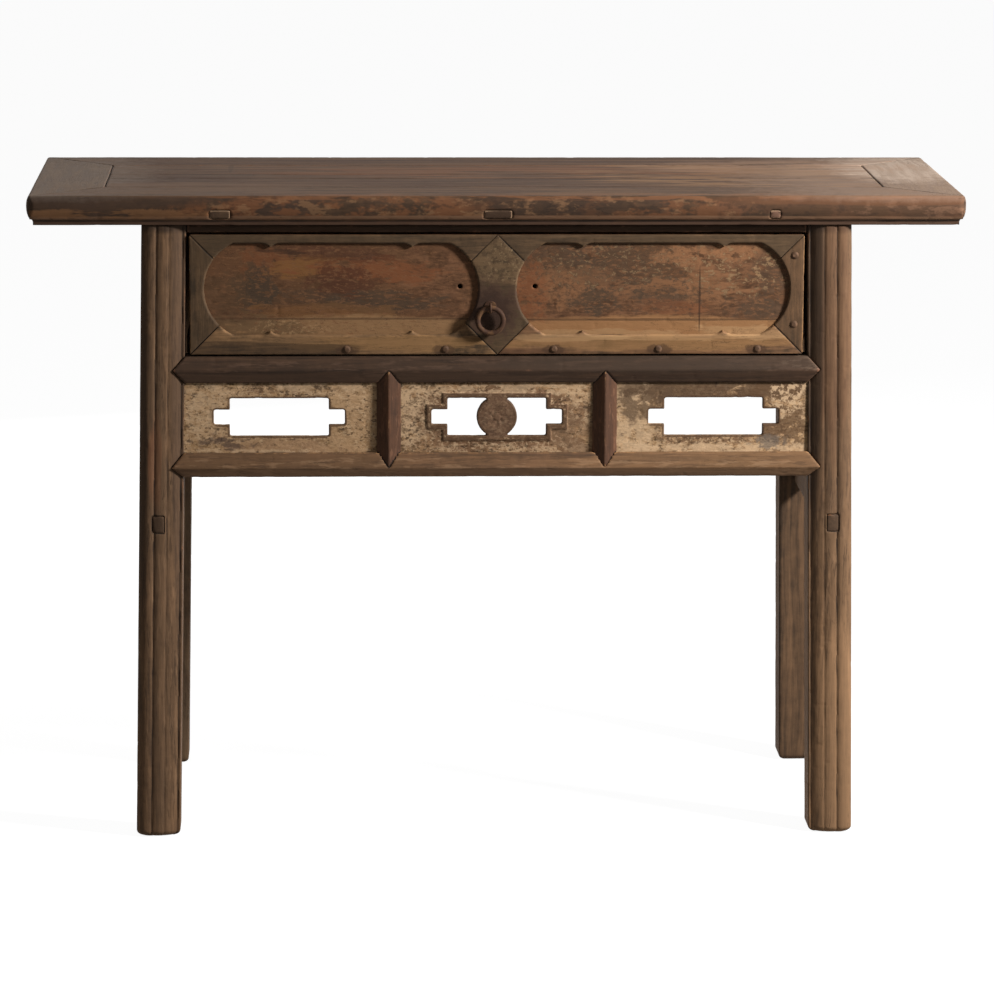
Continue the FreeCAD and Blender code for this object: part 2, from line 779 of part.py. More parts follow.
def cartouche_outline(centre, side_slope, top_slope, bottom_slope):
    """Outline of a sunk cartouche: bowed ends, and two cusps in each long edge."""
    reach = cartouche_length / 2 - size.cartouche_end_bow
    low = drawer_bottom + size.frame_bottom_band + bottom_slope
    high = drawer_top - size.frame_top_band - top_slope
    hollow = -size.cusp_hollow
    bow = -(size.cartouche_end_bow - side_slope)
    lower, upper = [(centre - reach, low)], [(centre + reach, high)]
    for sign in (-1, 1):
        for edge, level, point, way in ((lower, low, low + size.cusp_height, 1),
                                        (upper, high, high - size.cusp_height, -1)):
            tip = centre + cartouche_length * size.cusp_spread_share * (sign * way)
            half = size.cusp_half_width * way
            edge.extend([(tip - half, level, hollow), (tip, point, hollow), (tip + half, level)])
    lower.append((centre + reach, low, bow))
    upper.append((centre - reach, high, bow))
    return lower + upper


def cartouche_cutter(name, centre):
    """The sunk space of a cartouche, wider at the face than at the ground."""
    body = doc.addObject("PartDesign::Body", name)
    flat = cartouche_outline(centre, 0, 0, 0)
    sunk = cartouche_outline(centre, size.slope_side, size.slope_top, size.slope_bottom)
    bed = drawer_face - size.front_frame_thickness
    face = add_sketch(body, name + "_face", "XZ_Plane", flat, lift=drawer_face)
    ground = add_sketch(body, name + "_ground", "XZ_Plane", sunk, lift=bed)
    loft = body.newObject("PartDesign::AdditiveLoft", name + "_loft")
    loft.Profile = face
    loft.Sections = [ground]
    loft.Ruled = True
    body.Tip = loft
    return body


def nail_places():
    """Places of the nails as (across, up)."""
    level = drawer_bottom + size.nail_edge_distance
    stile = drawer_width / 2 - size.nail_stile_distance
    lower = [(drawer_width / 2 * share, level) for share in LOWER_NAIL_SHARES]
    return lower + [(stile, drawer_bottom + drawer_height * share) for share in STILE_NAIL_SHARES]


def make_nails():
    """Forged nails with low domed heads, as one group of solids."""
    nails = []
    for number, (across, up) in enumerate(nail_places()):
        name = f"nail_{number}"
        shank = rod(name + "_shank", size.nail_diameter, size.nail_length,
                    (across, size.nail_length - drawer_face, up), TO_FRONT)
        head = doc.addObject("Part::Cone", name + "_head")
        tie(head, "Radius1", size.nail_head_diameter / 2)
        tie(head, "Radius2", size.nail_crown_diameter / 2)
        tie(head, "Height", size.nail_head_rise)
        head.Placement = FreeCAD.Placement(FreeCAD.Vector(), TO_FRONT)
        tie_place(head, across, -drawer_face, up)
        nails.append(fuse(name, shank, head))
    group = doc.addObject("Part::Compound", "drawer_nails")
    group.Links = nails
    return keep("drawer_nails", group)


def frame_outlines():
    """Plans of the seven members round the cartouches, mitred where they meet."""
    half, reach = drawer_width / 2, size.mitre_reach
    low, high = drawer_bottom, drawer_top
    left_stile = [(-half, low), (reach - half, low + reach), (reach - half, high - reach), (-half, high)]
    left_bottom = [(-half, low), (0, low), (-reach, low + reach), (reach - half, low + reach)]
    left_top = [(-half, high), (reach - half, high - reach), (-reach, high - reach), (0, high)]
    post = [(0, low), (reach, low + reach), (reach, high - reach), (0, high), (-reach, high - reach),
            (-reach, low + reach)]
    outlines = {"drawer_post": post}
    for word, outline in (("stile", left_stile), ("bottom", left_bottom), ("top", left_top)):
        outlines[f"drawer_frame_{word}_left"] = outline
        outlines[f"drawer_frame_{word}_right"] = mirrored(outline)
    return outlines


def drawer_box(nails, pin):
    """The front board, two sides, the back and the bottom of the drawer."""
    half = drawer_width / 2
    face = size.front_frame_thickness - drawer_face
    inside = face + size.front_board_thickness
    outer = half - size.drawer_side_inset
    inner = outer - size.drawer_side_thickness
    floor = case_floor + size.drawer_running_gap
    groove = size.drawer_groove_depth
    bed = floor + size.drawer_bottom_lift
    back_face = drawer_end - size.drawer_back_thickness
    grooved = (-inner - groove, inner + groove)
    bottom = keep("drawer_bottom", block("drawer_bottom", grooved, (inside - groove, back_face + groove),
                                         (bed, bed + size.drawer_bottom_thickness)))
    back = block("drawer_back_board", grooved, (back_face, drawer_end),
                 (floor, drawer_top - size.drawer_back_drop))
    sides = []
    for word, side in (("left", -1), ("right", 1)):
        name = "drawer_side_" + word
        board = block(name + "_board", ordered(inner * side, outer * side), (inside - groove, drawer_end),
                      (floor, drawer_top - size.drawer_side_drop))
        sides.append(keep(name, cut(name, board, back, bottom)))
    keep("drawer_back", cut("drawer_back", back, bottom))
    board = block("drawer_front_plank", (-half, half), (face, inside), (drawer_bottom, drawer_top))
    hole_length = size.front_board_thickness + size.overrun * 2
    hole_height = drawer_bottom + size.old_hole_height
    holes = [rod(f"old_hole_{word}", size.old_hole_diameter, hole_length,
                 (size.old_hole_spacing / 2 * side, inside + size.overrun, hole_height), TO_FRONT)
             for word, side in (("left", -1), ("right", 1))]
    keep("drawer_front_board", cut("drawer_front_board", board, *sides, bottom, nails, pin, *holes))


def make_pull():
    """The split pin with its eye, the round plate behind it and the ring that hangs in it."""
    x, z = -size.ring_shift, drawer_bottom + size.pin_height
    loop_middle = (size.pin_hole_diameter + size.pin_wire_diameter) / 2
    plate_face = -drawer_face - size.plate_thickness
    eye_y = plate_face - size.pin_stand_off - loop_middle - size.pin_wire_diameter / 2
    wire = size.pin_wire_diameter / 2
    eye = doc.addObject("Part::Torus", "pin_eye")
    tie(eye, "Radius1", loop_middle)
    tie(eye, "Radius2", wire)
    eye.Placement = FreeCAD.Placement(FreeCAD.Vector(), TO_RIGHT)
    tie_place(eye, x, eye_y, z)
    inside = size.front_frame_thickness + size.front_board_thickness - drawer_face
    wide, end = around(x, size.pin_shank_width), inside + size.pin_foot_thickness
    shank = block("pin_shank", wide, (eye_y + loop_middle, end), around(z, size.pin_shank_width))
    feet = block("pin_feet", wide, (inside, end), around(z, size.pin_foot_length * 2))
    pin = keep("ring_pin", fuse("ring_pin", eye, shank, feet))
    disc = rod("ring_plate_disc", size.plate_diameter, size.plate_thickness, (x, -drawer_face, z), TO_FRONT)
    keep("ring_plate", cut("ring_plate", disc, pin))
    ring_middle = (size.ring_outer_diameter - size.ring_wire_diameter) / 2
    ring = doc.addObject("Part::Torus", "ring_pull")
    tie(ring, "Radius1", ring_middle)
    tie(ring, "Radius2", size.ring_wire_diameter / 2)
    ring.Placement = FreeCAD.Placement(FreeCAD.Vector(), TO_FRONT)
    tie_place(ring, x, eye_y, z - ring_middle)
    keep("ring_pull", ring)
    return pin


def make_drawer():
    """Everything that slides out with the drawer."""
    pin = make_pull()
    nails = make_nails()
    centre = (size.post_waist + cartouche_length) / 2
    sunk = [cartouche_cutter("cartouche_left", -centre), cartouche_cutter("cartouche_right", centre)]
    back = size.front_frame_thickness - drawer_face
    for name, outline in frame_outlines().items():
        member = plate(name + "_plate", outline, -drawer_face, back)
        tools = sunk + [nails] + ([pin] if name == "drawer_post" else [])
        keep(name, cut(name, member, *tools))
    drawer_box(nails, pin)


# Assembly

def make_table():
    """All sub-parts, the ones that give their shape to a joint first."""
    corners = {"leg_front_left": (-1, -1), "leg_front_right": (1, -1),
               "leg_back_left": (-1, 1), "leg_back_right": (1, 1)}
    blanks = {name: leg_blank(name, *corner) for name, corner in corners.items()}
    front_legs, back_legs = list(blanks.values())[:2], list(blanks.values())[2:]
    make_top(list(blanks.values()))

    rail, rail_face = pointed_rail("drawer_rail", drawer_rail_low, size.drawer_rail_height,
                                   size.drawer_rail_ridge, size.drawer_rail_depth)
    apron, apron_face = pointed_rail("apron_rail", apron_low, size.apron_rail_height,
                                     size.apron_rail_ridge, size.apron_rail_depth)
    muntins = [muntin_blank("muntin_left", -1, rail_face, apron_face),
               muntin_blank("muntin_right", 1, rail_face, apron_face)]
    frets = make_frets()
    for name, blank in zip(("muntin_left", "muntin_right"), muntins):
        keep(name, cut(name, blank, *frets))

    top_rail_low = leg_top - size.top_rail_height
    top_rail = long_case_rail("top_rail_front", -1, top_rail_low, size.top_rail_height,
                              size.top_rail_depth, size.top_rail_setback, front_legs)
    case_low = case_floor - size.case_rail_height
    case_high = leg_top - size.case_rail_height
    back_rails = [long_case_rail(name, 1, low, size.case_rail_height, size.back_rail_depth,
                                 size.back_rail_setback, back_legs)
                  for name, low in (("back_rail_upper", case_high), ("back_rail_lower", case_low))]
    side_rails = []
    panels = [back_panel("back_panel")]
    stretchers = []
    for word, side in (("left", -1), ("right", 1)):
        legs = [blanks["leg_front_" + word], blanks["leg_back_" + word]]
        for level, low in (("upper", case_high), ("lower", case_low)):
            name = f"side_rail_{level}_{word}"
            side_rails.append(cross_rail(name, side, low, size.case_rail_height, legs))
        panels.append(side_panel("side_panel_" + word, side))
        stretchers.append(side_stretcher("side_stretcher_" + word, side, legs))

    rail_back = rail_face + size.drawer_rail_depth
    top_rail_inset = size.top_rail_setback + size.top_rail_depth
    top_rail_back = top_rail_inset - leg_front(leg_top - size.top_rail_height / 2)
    runners = make_slides(rail_back, top_rail_back)

    for rail_piece in back_rails + side_rails:
        name = rail_piece.Label
        rail_piece.Label = name + "_ungrooved"
        keep(name, cut(name + "_grooved", rail_piece, *panels, *runners))
    keep("drawer_rail", cut("drawer_rail", rail, *muntins, *frets, *runners))
    keep("apron_rail", cut("apron_rail", apron, *muntins, *frets))
    joined = [rail, apron, top_rail] + frets + back_rails + side_rails + panels + stretchers
    for name, blank in blanks.items():
        keep(name, cut(name, blank, *joined))
    make_drawer()


def export_pieces():
    """Check every object, then write each sub-part to its own file."""
    doc.recompute()
    for thing in doc.Objects:
        if "Invalid" in thing.State or "Error" in thing.State:
            raise RuntimeError(f"{thing.Name} did not compute: {thing.State}")
    os.makedirs("parts", exist_ok=True)
    for name, thing in pieces.items():
        shape = thing.Shape
        if shape.isNull() or not shape.isValid() or not shape.Solids:
            raise RuntimeError(f"{name} has no sound shape")
        print(f"{name}: {len(shape.Solids)} solid, {shape.Volume / 1000:.1f} cm3")
        shape.exportStep(f"parts/{name}.step")


make_table()
export_pieces()
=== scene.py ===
import logging
import math
import zlib
from dataclasses import dataclass, field, replace
from enum import Enum
from functools import partial
from typing import Callable, Optional, Sequence, Union

import bpy
import numpy as np
from mathutils import Matrix, Vector
from mathutils.bvhtree import BVHTree


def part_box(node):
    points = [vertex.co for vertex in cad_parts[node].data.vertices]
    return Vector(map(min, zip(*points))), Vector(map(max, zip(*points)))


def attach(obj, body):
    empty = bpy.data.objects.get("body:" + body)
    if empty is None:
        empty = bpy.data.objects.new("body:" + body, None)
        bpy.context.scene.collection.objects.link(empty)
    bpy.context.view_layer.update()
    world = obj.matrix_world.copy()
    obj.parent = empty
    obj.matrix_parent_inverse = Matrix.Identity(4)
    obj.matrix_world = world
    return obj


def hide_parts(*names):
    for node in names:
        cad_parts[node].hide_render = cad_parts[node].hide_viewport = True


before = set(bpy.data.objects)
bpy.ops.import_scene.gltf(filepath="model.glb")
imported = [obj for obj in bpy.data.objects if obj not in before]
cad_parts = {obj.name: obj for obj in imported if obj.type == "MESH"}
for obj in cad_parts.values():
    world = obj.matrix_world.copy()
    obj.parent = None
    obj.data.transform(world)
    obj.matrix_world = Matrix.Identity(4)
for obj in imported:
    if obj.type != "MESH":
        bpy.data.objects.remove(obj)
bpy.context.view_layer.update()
MM = 0.001
UP = 2
SIDES = ("left", "right")
# A point faces the front where its normal's second part is below this.
FRONTWARD = -0.6
# A wave texture repeats every 0.314 / scale metres.
WAVE_REPEAT = 0.314
# The share that a rub or a deposit hides at most of the colour below it.
FULLEST = 0.85
# What scatters the random lumps' values, and how many cells a seed moves them.
SCATTER = np.array([73856093, 19349663, 83492791])
SEED_STEP, SEED_SHIFT, SCRAMBLE, WORD, HALF_WORD = 9176, 0.37, 1274126177, 0xFFFFFFFF, 0xFFFF
# Along each axis, how far a finish's figure moves from seed to seed, and after how many seeds it comes back.
FIGURE_STEPS = ((0.173, 7), (0.291, 11), (0.119, 13))
log = logging.getLogger("altar_table")

Tree = bpy.types.NodeTree
Socket = bpy.types.NodeSocket
Setting = Union[float, Sequence[float], Socket]
Carving = Callable[[np.ndarray, np.ndarray], np.ndarray]


class Grain(Enum):
    """The way the fibres of a piece run, as the number of the axis."""

    SIDEWAYS = 0
    DEEP = 1
    UPRIGHT = 2


class Body(Enum):
    """The bodies that pieces ride on."""

    TABLE = "table"
    DRAWER = "drawer"
    RING = "ring"


class Slot(Enum):
    """The record's material slots."""

    TOP = "top_wood"
    LEG = "leg_wood"
    RAIL = "rail_wood"
    DRAWER_FRAME = "drawer_frame_wood"
    CARTOUCHE = "cartouche_wood"
    FRET = "fret_paint"
    INNER = "inner_wood"
    IRON = "old_iron"


def linear(code: str) -> tuple[float, float, float, float]:
    """Turns an sRGB colour such as "#8a5830" into the linear red, green, blue and alpha that a socket takes."""
    parts = [int(code[place:place + 2], 16) / 255 for place in (1, 3, 5)]
    return (*(part / 12.92 if part <= 0.04045 else ((part + 0.055) / 1.055) ** 2.4 for part in parts), 1.0)


def add(tree: Tree, kind: str, sockets: Optional[dict[Union[int, str], Setting]] = None,
        **settings: object) -> bpy.types.Node:
    """Adds one node to a tree.

    Args:
        tree: The tree that gets the node.
        kind: The node's type without its ShaderNode prefix.
        sockets: A value or a socket to link, by the input's name or number.
        **settings: The node's own properties.

    Returns:
        The new node.
    """
    node = tree.nodes.new("ShaderNode" + kind)
    for name, value in settings.items():
        setattr(node, name, value)
    for place, value in (sockets or {}).items():
        if isinstance(value, Socket):
            tree.links.new(value, node.inputs[place])
        else:
            node.inputs[place].default_value = value
    return node


def reckon(tree: Tree, operation: str, *values: Setting) -> Socket:
    """Works out a number from values and sockets."""
    return add(tree, "Math", dict(enumerate(values)), operation=operation).outputs[0]


def span(tree: Tree, value: Socket, low: float, high: float, least: float = 0.0, most: float = 1.0) -> Socket:
    """Takes a value from between low and high to between least and most, and clips it there."""
    ends = {"From Min": low, "From Max": high, "To Min": least, "To Max": most}
    return add(tree, "MapRange", {"Value": value, **ends}).outputs[0]


def noise(tree: Tree, place: Socket, size: float, detail: float, **more: float) -> Socket:
    """Adds a noise with lumps of a size in millimetres."""
    return add(tree, "TexNoise", {"Vector": place, "Scale": 1 / (size * MM), "Detail": detail, **more}).outputs[0]


def paint(tree: Tree, share: Socket, below: Setting, colour: str) -> Socket:
    """Lays a share of a colour over what is below."""
    return add(tree, "Mix", {0: share, 6: below, 7: linear(colour)}, data_type="RGBA").outputs[2]


def new_tree(name: str) -> tuple[bpy.types.Material, Tree]:
    """Makes an empty material with nodes.

    Args:
        name: The material's name.

    Returns:
        The material and its node tree.
    """
    material = bpy.data.materials.new(name)
    material.use_nodes = True
    material.node_tree.nodes.clear()
    return material, material.node_tree


def lumps(points: np.ndarray, width: float, seed: int) -> np.ndarray:
    """Smooth random values, the same on every run.

    Args:
        points: Places in metres, one row each.
        width: The size of one lump, in millimetres.
        seed: Another number gives other lumps.

    Returns:
        One value from -1 to 1 for each point.
    """
    place = points / (width * MM) + SEED_SHIFT * seed
    cell = np.floor(place).astype(np.int64)
    part = place - cell
    part = part * part * (3 - 2 * part)
    total = np.zeros(len(points))
    for corner in range(8):
        step = np.array([corner & 1, corner >> 1 & 1, corner >> 2 & 1])
        mixed = ((cell + step) @ SCATTER + seed * SEED_STEP) & WORD
        mixed = ((mixed ^ (mixed >> 13)) * SCRAMBLE) & WORD
        value = ((mixed ^ (mixed >> 16)) & HALF_WORD) / (HALF_WORD / 2) - 1
        total += np.where(step, part, 1 - part).prod(axis=1) * value
    return total


def read(items: bpy.types.bpy_prop_collection, name: str, width: int, kind: type = np.float64) -> np.ndarray:
    """Reads one property of all points, edges or normals of a mesh.

    Args:
        items: The points, edges or normals.
        name: The property's name.
        width: How many numbers the property has.
        kind: The numbers' type.

    Returns:
        One row for each item.
    """
    values = np.empty(len(items) * width, dtype=kind)
    items.foreach_get(name, values)
    return values.reshape(-1, width)


def seed_of(node: str) -> int:
    """A piece's own number, the same on every run."""
    return zlib.crc32(node.encode()) % 997


@dataclass(frozen=True)
class Stain:
    """A ragged patch of another colour on a finish. Places and lengths are in millimetres.

    A drawn patch frays along the grain, another one all round. Flecks break a patch up: fleck is their size,
    run how many times longer they are along the grain, and cover the share of the patch that they fill.
    """

    colour: str
    centre: tuple[float, float, float]
    reach: tuple[float, float, float]
    strength: float = 0.8
    ragged: float = 0.9
    soft: float = 0.35
    drawn: bool = True
    fleck: float = 0.0
    run: float = 1.0
    cover: float = 0.5

    def lay(self, tree: Tree, place: Socket, rim: Socket, below: Socket, grain: Grain) -> Socket:
        """Lays the patch over a colour.

        Args:
            tree: The finish's node tree.
            place: The object coordinates.
            rim: A noise that makes the rim ragged.
            below: The colour under the patch.
            grain: The way the piece's fibres run.

        Returns:
            The colour with the patch.
        """
        near = add(tree, "Mapping", {"Vector": place, "Location": [v * MM for v in self.centre],
                                     "Scale": [v * MM for v in self.reach]}, vector_type="TEXTURE").outputs[0]
        far = add(tree, "VectorMath", {0: near}, operation="LENGTH").outputs["Value"]
        torn = reckon(tree, "MULTIPLY_ADD", rim, -2 * self.ragged, far)
        mask = span(tree, torn, 1 - self.ragged + self.soft, 1 - self.ragged, most=self.strength)
        if self.fleck:
            along = [1 / (self.run if axis == grain.value else 1) for axis in range(3)]
            laid = add(tree, "Mapping", {"Vector": place, "Scale": along}).outputs[0]
            grit = noise(tree, laid, self.fleck, 3.5, Roughness=0.7)
            # The noise keeps near 0.5, so a small change of the level fills much more of the patch.
            bare = span(tree, grit, 0.62 - 0.3 * self.cover, 0.7 - 0.3 * self.cover)
            mask = reckon(tree, "MULTIPLY", mask, bare)
        return paint(tree, mask, below, self.colour)


def front_patch(colour: str, across: float, up: float, wide: float, tall: float, strength: float = 0.8,
                ragged: float = 0.9, face: float = -214.0, deep: float = 30.0, **how: object) -> Stain:
    """A stain on what faces the front, from its middle, its half width and its half height."""
    return Stain(colour, (across, face, up), (wide, deep, tall), strength, ragged, **how)


@dataclass(frozen=True)
class OldElm:
    """Elm, planed by hand, once lacquered, and rubbed, dried and soiled for a century.

    To the eye it is matt brown, with dark streaks along the grain, a redder tone where hands wore it,
    black grime in its hollows, and grey where dust lies. Lengths are in millimetres. The real fibres, about
    0.3 mm apart, are too fine to show, so they are drawn about ten times as wide.
    """

    name: str
    dark: str
    light: str
    aged: str
    worn: str
    grime: str = "#1d150f"
    dusty: str = "#6d5d4c"
    dust: float = 0.0
    rub: float = 0.62
    soil: float = 0.35
    figure: float = 16.0
    mottle: float = 0.5
    ring: float = 11.0
    fibre: float = 3.0
    stretch: float = 22.0
    cloud: float = 95.0
    tear: float = 17.0
    crack: float = 0.012
    matt: tuple[float, float] = (0.58, 0.78)
    relief: float = 0.3
    relief_depth: float = 1.4
    # Patches laid over the wood: stains and wear, and on some pieces painted light and shade.
    stains: tuple[Stain, ...] = ()

    def material(self, grain: Grain, seed: int) -> bpy.types.Material:
        """Makes the finish for one piece.

        Args:
            grain: The way the piece's fibres run.
            seed: A number that gives each piece its own figure.

        Returns:
            The material.
        """
        material, tree = new_tree(f"{self.name}_{grain.name.lower()}_{seed}")
        place = add(tree, "TexCoord").outputs["Object"]
        along = [1.0, 1.0, 1.0]
        along[grain.value] = 1 / self.stretch
        shift = [step * (seed % turns) for step, turns in FIGURE_STEPS]
        drawn = add(tree, "Mapping", {"Vector": place, "Location": shift, "Scale": along}).outputs[0]
        # The saw cuts the trunk at a small angle, so that the growth rings open into long tongues.
        lean = [0.03 + 0.004 * (seed % 5)] * 3
        lean[grain.value] = 0.2 * (seed % 3)
        trunk = add(tree, "Mapping", {"Vector": place, "Rotation": lean, "Location": [v * 0.3 for v in shift]})
        rings = add(tree, "TexWave", {"Vector": trunk.outputs[0], "Scale": WAVE_REPEAT / (self.ring * MM),
                                      "Distortion": 4.0, "Detail": 2.0, "Detail Scale": 0.3},
                    wave_type="RINGS", rings_direction="XYZ"[grain.value], wave_profile="SAW").outputs[1]
        figure = noise(tree, drawn, self.figure, 5.0, Roughness=0.62, Distortion=0.4)
        fibre = noise(tree, drawn, self.fibre, 2.0)
        cloud = noise(tree, place, self.cloud, 3.0)
        rim = noise(tree, place, self.tear, 6.0, Roughness=0.68)

        # The wood's own colour, from its rings, figure and fibres, browner in clouds where it aged more.
        tone = reckon(tree, "MULTIPLY_ADD", rings, 0.12, -0.31 - 0.5 * self.mottle)
        for pattern, share in ((figure, 1.0), (fibre, 0.5), (rim, self.mottle)):
            tone = reckon(tree, "MULTIPLY_ADD", pattern, share, tone)
        colour = paint(tree, span(tree, tone, 0.25, 0.75), linear(self.dark), self.light)
        age = span(tree, cloud, 0.42, 0.62, most=0.7)
        colour = paint(tree, age, colour, self.aged)
        for stain in self.stains:
            colour = stain.lay(tree, place, figure if stain.drawn else rim, colour, grain)

        # Rubbed arrises, dust on what faces up, dirt in the hollows, and dry cracks along the figure.
        arris, hollow = (add(tree, "Attribute", attribute_name=name).outputs["Fac"] for name in ("arris", "hollow"))
        rubbed = reckon(tree, "ADD", reckon(tree, "MULTIPLY_ADD", rim, 1.5, -0.75), arris)
        rubbed = span(tree, rubbed, self.rub, self.rub + 0.22, most=FULLEST)
        colour = paint(tree, rubbed, colour, self.worn)
        upward = add(tree, "SeparateXYZ", {0: add(tree, "TexCoord").outputs["Normal"]}).outputs[UP]
        lying = span(tree, figure, 0.4, 0.6, 0.2 * self.dust, self.dust)
        lying = reckon(tree, "MULTIPLY", lying, span(tree, upward, 0.55, 0.95))
        colour = paint(tree, lying, colour, self.dusty)
        dirt = reckon(tree, "ADD", reckon(tree, "MULTIPLY_ADD", cloud, 0.7, -0.35), hollow)
        colour = paint(tree, span(tree, dirt, self.soil, self.soil + 0.4, most=FULLEST), colour, self.grime)
        aside = reckon(tree, "ABSOLUTE", reckon(tree, "SUBTRACT", figure, 0.5))
        split = reckon(tree, "MULTIPLY", span(tree, aside, 0.0, self.crack, 0.75, 0.0), age)
        colour = paint(tree, split, colour, self.grime)

        height = figure
        for pattern, depth in ((fibre, 0.5), (split, -0.8), (rim, 0.35)):
            height = reckon(tree, "MULTIPLY_ADD", pattern, depth, height)
        bump = add(tree, "Bump", {"Height": height, "Strength": self.relief, "Distance": self.relief_depth * MM})
        matt = span(tree, rubbed, 0.0, FULLEST, self.matt[1], self.matt[0])
        surface = add(tree, "BsdfPrincipled", {"Base Color": colour, "Roughness": matt, "Normal": bump.outputs[0],
                                               "IOR": 1.5, "Specular IOR Level": 0.2})
        add(tree, "OutputMaterial", {"Surface": surface.outputs[0]})
        return material


@dataclass(frozen=True)
class ForgedIron:
    """Wrought iron, forged by hand and left bare: dark brown scale, matt, with old rust in its dimples."""

    name: str = "wrought_iron_forged_scale"
    scale: str = "#402c21"
    rust: str = "#644831"
    dimple: float = 2.6
    bloom: float = 9.0

    def material(self) -> bpy.types.Material:
        """Makes the finish.

        Returns:
            The material.
        """
        material, tree = new_tree(self.name)
        place = add(tree, "TexCoord").outputs["Object"]
        rusty = span(tree, noise(tree, place, self.bloom, 5.0), 0.45, 0.62, most=0.8)
        colour = paint(tree, rusty, linear(self.scale), self.rust)
        matt = span(tree, rusty, 0.0, 1.0, 0.66, 0.85)
        dimples = noise(tree, place, self.dimple, 4.0)
        bump = add(tree, "Bump", {"Height": dimples, "Strength": 0.5, "Distance": 0.5 * MM}).outputs[0]
        surface = add(tree, "BsdfPrincipled", {"Base Color": colour, "Roughness": matt, "Metallic": 0.1,
                                               "Normal": bump, "Specular IOR Level": 0.12})
        add(tree, "OutputMaterial", {"Surface": surface.outputs[0]})
        return material


@dataclass(frozen=True)
class Wear:
    """What use has done to a piece. Lengths are in millimetres.

    The cell is the spacing of the worn surface's points. Arrises are rubbed round in a few passes, the faces
    have a slow wave from the hand plane, and chips and dents go inward only, so a piece never outgrows its solid.
    A pass moves a point by the rub, give or take the swing, towards the middle of its neighbours. Chips and dents
    begin where random lumps, which go from -1 to 1, rise above their level. The spread says how far from an arris
    its finish still shows, in rounds of evening. The seam is how far from a neighbouring solid an arris still
    gathers dirt, and keep the share of the faces that is kept at the end.
    """

    cell: float = 2.0
    passes: int = 4
    rub: float = 0.32
    swing: float = 0.2
    wave: float = 0.3
    chip: float = 1.0
    wave_width: float = 75.0
    chip_width: float = 13.0
    chip_level: float = 0.25
    rub_width: float = 24.0
    dent: float = 0.35
    dent_width: float = 8.0
    dent_level: float = 0.5
    spread: int = 2
    seam: float = 1.6
    seam_width: float = 22.0
    keep: float = 0.35


